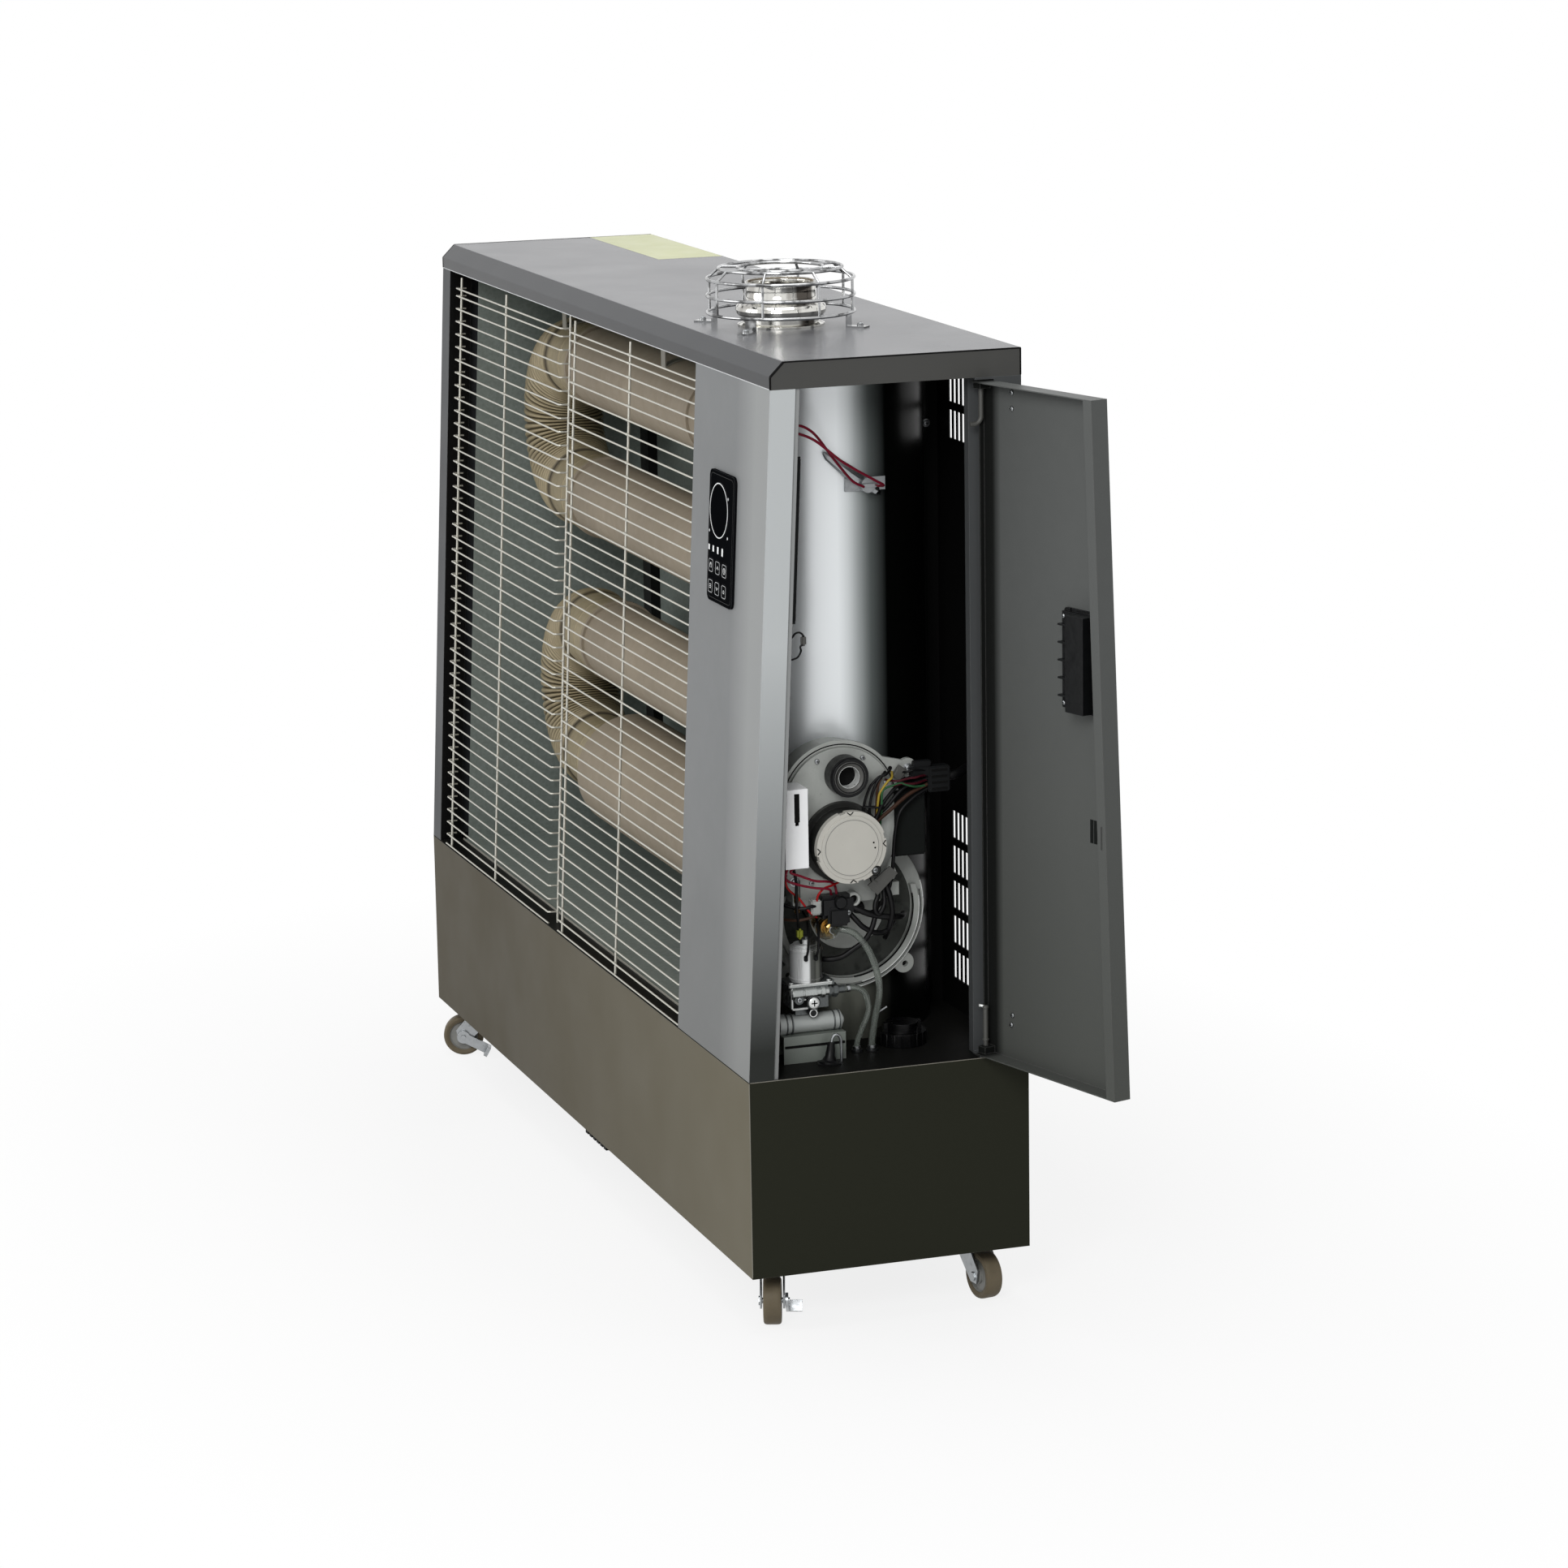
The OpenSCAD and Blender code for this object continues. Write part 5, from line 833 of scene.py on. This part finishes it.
def pump_details():
    # Cover disc with its cross screw, banjo bolt and outlet nut
    b.screw((-48.4, 88, 274), X, 5.9, 2.2, "bright")
    b.lathe((-50, 88, 274), X, [(7.0, -4), (7.3, -3.6), (7.3, 1.4), (6.6, 2.1), (5.6, 2.1), (5.6, -4)], "gap", 36)
    b.screw((-50.3, 73, 278), X, 2.8, 1.4)
    b.lathe((-60.5, 88.4, 262.4), X, plug(4.6, 9, (3.6, 9.8)), "black", 28)
    b.lathe((-51.2, 88.4, 262.4), X, band(3.4, 4.3, 0.8), "bright", 28)
    b.lathe((-55.4, 65.6, 283.4), Y,
            [(0, 0), (5.4, 0), (6.2, 0.8), (6.2, 12), (5.2, 12.4), (5.2, 14), (6.2, 14.4), (6.2, 27), (4.6, 27.6),
             (4.6, 32), (6.4, 32.2), (6.4, 36), (4.2, 36.4), (4.2, 41), (0, 41)], "barrel")
    b.tube([(-53.6, 66.2, 290), (-53.6, 66.2, 268.4), (-53.6, 67.4, 267.4), (-53.6, 83, 267.4)], 1.1, "bright", 8)
    b.tube([(-53.6, 69.4, 276.8), (-53.6, 82, 276.8)], 0.8, "bright", 8)
    b.block((-54.2, 68, 269), (-53.4, 82, 275.6), "gap", 0.2)
    b.block((-84, 62.5, 291.2), (-50.5, 109.5, 294.4), "barrel", 0.5)
    b.tube([(-50.4, 63, 294.2), (-50.4, 109, 294.2)], 0.7, "bright", 8)
    for y in (65.5, 106.5):
        b.screw((-54, y, 294.3), Z, 2.2, 1.4, "bright")
    b.lathe((-66, 105.9, 281), Y, band(6.1, 8, 6), "pump", 6)
    b.lathe((-66, 114.5, 281), Y, band(6.1, 7.6, 4.5), "pump", 6)
    b.lathe((-58, 92, 295), Z, plug(3, 4, (2, 5)), "brass", 20)
    b.done("pump_fittings")
    z0 = PLINTH_H + 85
    for h in (2.0, 32.0):
        b.lathe((-66, 86, z0 + h), Z, [(16.9, 0), (17.7, 0.3), (17.7, 1.9), (16.9, 2.2)], "chrome", 48)
    b.lathe((-66, 86, z0 + 43), Z, plug(3.4, 2.4, (2.6, 3.4)), "zinc", 6)
    # Spade tags and their two wires, which run up to the burner housing
    for y in (80, 91):
        b.block((-49.6, y - 2, z0 + 24), (-46, y + 2, z0 + 30), "connector", 0.8)
        b.wires([("cable", 1.3, [(-47.5, y, 27), (-44, y + 1, 36), (-50, y + 4, 50), (-66, y + 8, 62),
                                 (-90, y + 12, 66)])], 8, 8, z0)
    b.done("solenoid_tags")
    # Rolled ends of the filter
    for y in (61, 67, 113, 119):
        r = 10.9 if y > 67 else 11.6
        b.lathe((-66, y, 249), Y, [(9.9, 0), (r, 0.4), (r, 1.4), (9.9, 1.8)], "pump", 40)
    b.lathe((-66, 121.9, 249), Y, plug(5, 3, (3.6, 4)), "stand", 24)
    b.lathe((-66, 60.1, 249), (0, -1, 0), plug(8.4, 0.3), "gap", 32)
    b.done("filter_ends")
    # Bent clip on the deck that holds the hoses
    b.lathe((-40, 101, 210), (-0.1, 0.16, 1),
            [(0, -0.5), (11, -0.5), (11, 1.6), (7.5, 3.6), (5.2, 8), (4.4, 15), (3.6, 22), (0, 23)], "cable", 28)
    b.tube(smooth([(-41.6, 104, 229), (-42, 105, 235), (-42, 108, 239), (-42, 112, 238.6), (-42.4, 114.6, 234),
                   (-43, 115.4, 226), (-43, 115.6, 210.2)], 6), 1.5, "zinc")
    b.lathe((-40, 101, 209.8), Z, plug(14, 1.4, (12.6, 2)), "cable", 6)
    b.done("hose_clip")
    # Stiffening bead of the stand
    b.block((-52.2, 57, 226.6), (-51.4, 123, 229.4), "gap", 0.3)
    b.done("stand_line")
    # Dip rod and grommets of the tank's top
    b.tube([(-80, 164, 210), (-80, 167, 246.2), (-80, 179.8, 252.9)], 1.2, "zinc")
    b.lathe((-80, 164, 210), Z, plug(5, 2, (3, 4)), "black", 24)
    for x, y, r in ((-74, 144, 3.0), (-72, 160, 3.5)):
        b.lathe((x, y, 210), Z, [(r + 0.1, 0), (r + 3.4, 0), (r + 3.0, 2.2), (r + 0.1, 2.6)], "black", 28)
    b.done("deck_fittings")


# ---- panels
def seams():
    """Fine gaps, edges and screws of the sheet metal."""
    # Joints of the cap: round its right end panel, and the mitre at the front corner
    y0, y1, bevel = LEAN, BODY_D, 14.7
    outline = [(y0 + 0.4, CAP_Z + 0.6), (y0 + 0.4, CAP_TOP - bevel - 0.4), (y0 + bevel + 0.2, CAP_TOP - 0.5),
               (y1 - 0.6, CAP_TOP - 0.5), (y1 - 0.6, CAP_Z + 0.6)]
    for (ya, za), (yb, zb) in zip(outline, outline[1:]):
        for x in (0.05, -WIDTH - 0.05):
            b.tube([(x, ya, za), (x, yb, zb)], 0.9, "gap", 6)
    b.tube([(-1.6, y0 + 0.2, CAP_TOP - bevel), (-1.6, y0 + bevel + 0.1, CAP_TOP - 0.1)], 0.7, "gap", 6)
    b.tube([(-1.6, y0 + 0.2, CAP_Z + 0.8), (-1.6, y0 + 0.2, CAP_TOP - bevel)], 0.5, "gap", 6)
    b.done("cap_joints")
    # A painted highlight along the cap's lower front edge.
    b.tube([(-WIDTH + 2, y0 + 0.2, CAP_Z + 0.4), (-2, y0 + 0.2, CAP_Z + 0.4)], 0.6, "print_and_highlight", 6)
    b.done("cap_lower_edge")
    # Dark joint along the plinth's folded front edge, and painted highlights along its right-hand edges
    b.tube([(-WIDTH + 1, 0.2, PLINTH_H - 0.4), (-1, 0.2, PLINTH_H - 0.4)], 0.6, "gap", 6)
    b.tube([(0.05, 1, PLINTH_H - 0.3), (0.05, 306, PLINTH_H - 0.3)], 0.45, "edge_highlight", 6)
    b.tube([(-0.2, 0.1, 2), (-0.2, 0.1, PLINTH_H - 1)], 0.5, "edge_highlight", 6)
    b.done("plinth_edges")
    # Screws of the back and of the left end
    places = [(x, 307, z) for z in (36, 174) for x in (-WIDTH + 14, -14)]
    places += [(x, BODY_D, z) for x in (-1214, -914, -610, -306, -14)
               for z in (PLINTH_H + 14, PLINTH_H + 355, CAP_Z - 14)]
    for place in places + [(x, BODY_D, CAP_Z + 13) for x in (-1190, -910, -610, -310, -40)]:
        b.screw(place, Y, 3.4, 1.8, washer=True)
    b.done("back_screws")
    for y, z in ((60, PLINTH_H + 20), (282, PLINTH_H + 20), (80, CAP_Z - 20), (282, CAP_Z - 20),
                 (20, 30), (287, 30), (20, 180), (287, 180)):
        b.screw((-WIDTH, y, z), (-1, 0, 0), 3.4, 1.8, washer=True)
    b.done("end_screws")
    # Moulded ring that lines the hole for the mains cable, and leaves it free
    b.lathe((-60, BODY_D, PLINTH_H + 20), Y, [(8.2, -0.2), (11.5, -0.2), (11.0, 1.6), (8.6, 1.9)], "black", 36)
    b.done("cable_hole_ring")
    # Sheet under the tubes, with a turned-up front edge
    b.block((-1189, 27.5, PLINTH_H - 0.1), (-237.6, 269.4, PLINTH_H + 1.1), "reflector", 0.3)
    b.block((-1189, 27, PLINTH_H), (-237.6, 28.4, PLINTH_H + 2.6), "wire", 0.4)
    b.done("reflector_floor")
    # Edge seal on the control box, and a lead with its splice that comes round the column's edge
    b.rings([[(x, front_y(z) + depth, z) for x, depth in
              ((-23.6, 33.4), (-20.6, 33.4), (-20.6, 41.6), (-23.6, 41.6))] for z in (678, 847.5)], "connector")
    b.tube([(-21.2, front_y(z) + 41.3, z) for z in (681, 845)], 0.8, "cable", 8)
    b.done("box_edge")
    b.tube(smooth([(-16, 51.4, 661.3), (-20.5, 51.7, 662), (-22.8, 55.5, 663), (-22.4, 60.8, 663.2),
                   (-22.4, 65.2, 667.8), (-22.4, 70.4, 668.3), (-22.4, 74.1, 663.8), (-22.4, 74.0, 657.2),
                   (-22.4, 70.4, 653.8), (-22.4, 70.9, 649.1), (-22.4, 66.5, 642.8), (-22.8, 55.4, 640),
                   (-20.5, 50.7, 639.2), (-16, 50.4, 638.6)], 6), 1.0, "cable")
    b.block((-25.4, 71.2, 654.2), (-21, 76.8, 665.2), "tab", 1.6)
    b.done("splice")
    # Clip of the thermostat, on the shield
    b.tube([(-115.9, 131, 835), (-116.5, 136, 831), (-116.2, 160, 812), (-119, 189, 792), (-121, 194, 788)],
           [1.5, 4.5, 7.5, 5.5, 1.5], "zinc", 8, None, X)
    b.screw((-114.5, 139, 828), (1, 0.05, 0), 2.2, 1.2)
    b.done("thermostat_clip")
    # Screw at the back of the service bay
    b.screw((-233.5, 288, 841), X, 3, 2, washer=True)
    b.done("bay_screw")
    # Blank film on the top cap, as a new heater carries it
    b.block((-1229, 223, CAP_TOP - 0.05), (-950, 302.4, CAP_TOP + 0.12), "sticker", 0.04)
    b.done("top_film")


def flue_pipe():
    """Polished sleeve with a rolled rim over the flue spigot."""
    b.lathe(FLUE, Z, [
        (36.7, 25.7), (37.4, 26.2), (37.6, 27.5), (37.6, 31), (37.2, 31.8), (37.2, 42.4), (37.8, 43.6), (37.9, 45),
        (37.6, 46.1), (36.6, 46.5), (35.0, 46.2), (34.2, 45.2), (33.8, 43.6), (33.8, 26.5), (34.2, 25.7)],
        "flue_chrome", 96)
    b.done("flue_sleeve")
    for a in range(-43, 300, 90):
        x, y = polar(a, 90.5)
        b.screw((FLUE.x + x, FLUE.y + y, CAP_TOP + 3.6), Z, 3, 1.2)
    b.done("guard_screws")


# ---- controls
FACE_X, FACE_Z, FACE_T = -131.0, CAP_Z - 168, 3.0
KEY_PITCH, KEY_ROW, KEY_RISE = 21.5, -31.5, 0.72


def on_face(x, up, out=0.0):
    """A point over the fascia's front: x from its middle, height up the slope, distance out of its face."""
    return Vector((FACE_X + x, front_y(FACE_Z), FACE_Z)) + UP * up + OUT * (FACE_T + out)


def strip(points, width, key, rise=KEY_RISE, closed=False):
    """A flat printed line through points (x, up) on the fascia."""
    n = len(points)
    rings = []
    for i, (x, u) in enumerate(points):
        a = points[i - 1] if (i or closed) else points[i]
        c = points[(i + 1) % n] if (i < n - 1 or closed) else points[i]
        t = Vector((c[0] - a[0], c[1] - a[1])).normalized()
        s = Vector((-t.y, t.x)) * width / 2
        rings.append([on_face(x + w * s.x, u + w * s.y, out)
                      for w, out in ((1, -0.1), (1, rise), (-1, rise), (-1, -0.1))])
    b.rings(rings, key, closed)


def circle(x, u, r, n, start=0.0, stop=360.0):
    """Points (x, up) of a circle, or of an arc with both its ends."""
    steps = n if stop - start >= 360 else n - 1
    return [(x + c, u + s) for c, s in (polar(start + (stop - start) * j / steps, r) for j in range(n))]


def rounded(x, u, w, h, r, n):
    """Points of a rectangle with round corners, w and h from its middle."""
    corners = ((w - r, h - r, 0), (-w + r, h - r, 90), (-w + r, -h + r, 180), (w - r, -h + r, 270))
    return [p for cx, cu, a in corners for p in circle(x + cx, u + cu, r, n, a, a + 90)]


def fascia_print():
    strip(rounded(0, 0, 36.2, 64.2, 6.0, 7), 0.5, "connector", 0.1, True)
    for k, x in enumerate((-36, -22.5, -8, 6.4)):
        low, high = -16.25 - 0.4 * k, -10.75 + 0.4 * k
        b.rings([[on_face(x + side, u, out) for side, u in ((-2.2, low), (2.2, low), (2.2, high), (-2.2, high))]
                 for out in (-0.1, 0.14)], "lit")
    for x, u in ((20.5, 43.3), (21.4, 3.1), (-36.4, 3.5)):
        b.lathe(on_face(x, u, -0.1), OUT, plug(1.5, 0.24), "print_and_highlight", 20)
    b.done("fascia_marks")
    b.lathe(on_face(-6, 28), OUT, [(0, -0.1), (26.9, -0.1), (26.9, 0.25), (0, 0.5)], "glass", 72)
    b.done("display_window")
    b.lathe(on_face(-6, 28), OUT, [(27.5, 0.7), (27.5, 0.95), (28.5, 0.95), (28.5, 0.7)], "lit", 72)
    b.done("display_ring")


def key_marks():
    """A fine outline and a plain sign on each key."""
    for i in range(6):
        x = (i % 3 - 1) * KEY_PITCH - 6
        u = KEY_ROW - (i // 3) * KEY_PITCH
        strip(rounded(x, u, 6.3, 6.3, 2.2, 5), 0.45, "print_and_highlight", closed=True)
        if i == 0:
            strip(circle(x, u, 2.6, 20, -60, 240), 0.6, "lit")
            strip([(x, u + 0.6), (x, u + 3.6)], 0.6, "lit")
        elif i in (1, 4):
            way = 1 if i == 1 else -1
            strip([(x - 2.8, u - 1.4 * way), (x, u + 1.6 * way), (x + 2.8, u - 1.4 * way)], 0.8, "lit")
        elif i == 2:
            strip(circle(x, u, 3, 24), 0.6, "lit", closed=True)
            strip([(x, u + 1.8), (x, u), (x + 1.5, u - 0.8)], 0.6, "lit")
        elif i == 3:
            for d in (-1.8, 0, 1.8):
                strip([(x - 2.6, u + d), (x + 2.6, u + d)], 0.6, "lit")
        else:
            strip(circle(x, u, 1.6, 16), 0.6, "lit", closed=True)
        b.done("key_sign_%d" % (i + 1), "button_%d" % (i + 1))


# ---- service door
LATCH_Y, LATCH_Z = 105.17, PLINTH_H + 439


def door_line(depth, y0, y1, z, r, key, n):
    """A thin bead across the closed door's inside."""
    b.tube([open_door(-depth, y, z) for y in (y0, y1)], r, key, n)


def door_details():
    inward = SWING @ Vector((-1, 0, 0))
    for y, z in ((218, 906.6), (218, 890.2), (223, 260.4), (225, 249.8)):
        b.screw(open_door(-1.2, y, z), inward, 2.6, 1.6)
    b.done("door_screws", "door")
    for y0, y1, key in ((78.2, 81.0, "gap"), (83.6, 88.6, "dark_cover"), (89.6, 94.6, "dark_cover")):
        b.rings([[open_door(-1.15, y, z) + inward * d for y, z in ((y0, 466), (y1, 466), (y1, 490), (y0, 490))]
                 for d in (-0.1, 0.35)], key)
    b.done("door_catch", "door")
    # Painted highlight along the door's folded foot edge
    door_line(1.6, 252, 34.8, PLINTH_H + 3.2, 0.5, "edge_highlight", 8)
    b.done("door_foot_edge", "door")
    # Spring sleeve over the lower hinge pin
    b.lathe((HINGE.x, HINGE.y, 226.4), Z,
            [(0, 0), (3.4, 0), (3.4, 1.6), (2.7, 2), (2.7, 34), (3.3, 34.6), (3.3, 36.4), (2.2, 37.4), (0, 37.4)],
            "tab", 28)
    b.tube([HINGE + Vector(p) for p in ((0, 0, 262), (-3, -4, 263.4), (-3.4, -6, 263.6))], 1.5, "bright")
    b.done("pin_sleeve")
    # Screws and ribs of the pull's housing
    for z in (-44, 44):
        b.screw(open_door(-8, LATCH_Y + 21.5, LATCH_Z + z), inward, 2.2, 1.4)
    for z in (-36, -18, 0, 18, 36):
        door_line(14.1, LATCH_Y + 3.2, LATCH_Y + 24.6, LATCH_Z + z, 0.5, "connector", 6)
    b.done("pull_screws", "door")


# ---- castors
CASTORS = [("fl", -1170, 42, -108), ("fr", -60, 42, -20), ("rl", -1170, 265, 160), ("rr", -60, 265, 8)]
TRAIL, AXLE_Z = 26, -37


def mirrored(half):
    return half + [(r, -h) for r, h in half[::-1]]


def wheels():
    tyre = mirrored([(17.6, -8.2), (20, -9.2), (22, -9.5), (24, -8.6), (24.8, -6.8), (25, -5)])
    hub = mirrored([(3.06, -9.5), (8, -9.5), (9, -9), (9, -6.8), (16, -6), (17.6, -7.6)])
    for tag, x, y, yaw in CASTORS:
        c, s = polar(yaw)
        centre = (x + TRAIL * c, y + TRAIL * s, AXLE_Z)
        b.lathe(centre, (-s, c, 0), tyre, "tyre", 96)
        b.lathe(centre, (-s, c, 0), hub, "hub", 72)
        b.done("wheel_form_" + tag, "wheel_" + tag, ["castor_wheel_" + tag], "tyre_grey", 28)


for make in (hoses, harness, lead_bundle, ignition, burner_details, pump_details, seams, flue_pipe, fascia_print,
             key_marks, door_details, wheels):
    make()


# ---- floor and light
def seen_rays(tree):
    """1 for rays that come from the camera or through a reflection or glass, and else 0."""
    rays = [add_node(tree, "LightPath", out="Is %s Ray" % kind) for kind in ("Camera", "Glossy", "Transmission")]
    first = add_node(tree, "Math", {0: rays[0], 1: rays[1]}, operation="MAXIMUM")
    return add_node(tree, "Math", {0: first, 1: rays[2]}, operation="MAXIMUM")


FLOOR_HALF = 15.0  # metres
FADE_NEAR, FADE_FAR, NEAR_SHARE = 0.35, 0.95, 0.84  # metres from the middle, and the glow's share there
FADE_SHAPE = (0.62, 1.0, 0.0)  # the fade is longer along the cabinet


def stage():
    """A pale floor, which far from the object turns into the white background."""
    bm = bmesh.new()
    bmesh.ops.create_grid(bm, x_segments=2, y_segments=2, size=FLOOR_HALF)
    data = bpy.data.meshes.new("floor")
    bm.to_mesh(data)
    bm.free()
    floor = link_object("floor", data)
    material = bpy.data.materials.new("pale_floor")
    material.use_nodes = True
    tree = material.node_tree
    shader = tree.nodes["Principled BSDF"]
    shader.inputs["Base Color"].default_value = (0.75, 0.75, 0.75, 1)
    shader.inputs["Roughness"].default_value = 0.95
    shader.inputs["Specular IOR Level"].default_value = 0.1
    place = add_node(tree, "TexCoord", out="Object")
    flat = add_node(tree, "VectorMath", {0: place, 1: FADE_SHAPE}, operation="MULTIPLY")
    distance = add_node(tree, "VectorMath", {0: flat}, "Value", operation="LENGTH")
    fade = add_node(tree, "MapRange", {0: distance, 1: FADE_NEAR, 2: FADE_FAR, 3: NEAR_SHARE, 4: 1.0})
    share = add_node(tree, "Math", {0: seen_rays(tree), 1: fade}, operation="MULTIPLY")
    glow = add_node(tree, "Emission", {"Strength": 1.0})
    mix = add_node(tree, "MixShader", {"Fac": share, 1: shader.outputs["BSDF"], 2: glow})
    tree.links.new(mix, tree.nodes["Material Output"].inputs["Surface"])
    data.materials.append(material)


LIGHT = 0.36


def world():
    """White where it is seen, and dimmer as a light."""
    scene.world = bpy.data.worlds.new("studio")
    scene.world.use_nodes = True
    tree = scene.world.node_tree
    tree.nodes.clear()
    dim, bright = (add_node(tree, "Background", {"Color": (1, 1, 1, 1), "Strength": s}) for s in (LIGHT, 1.0))
    mix = add_node(tree, "MixShader", {"Fac": seen_rays(tree), 1: dim, 2: bright})
    tree.links.new(mix, tree.nodes.new("ShaderNodeOutputWorld").inputs["Surface"])


def lamp(name, where, target, size, power):
    data = bpy.data.lights.new(name, "AREA")
    data.shape = "DISK"
    data.size = size
    data.energy = power
    place, aim = at(*where), at(*target)
    turn = (aim - place).to_track_quat("-Z", "Y").to_matrix().to_4x4()
    link_object(name, data).matrix_world = Matrix.Translation(place) @ turn


camera()
stage()
world()
lamp("key", (-900, -3300, 1500), (-600, 100, 450), 2.2, 35)
lamp("top", (-500, 200, 3600), (-600, 150, 500), 2.4, 44)
lamp("side", (3000, -1800, 2600), (-300, 100, 500), 1.8, 86)
scene.view_settings.view_transform = "Standard"
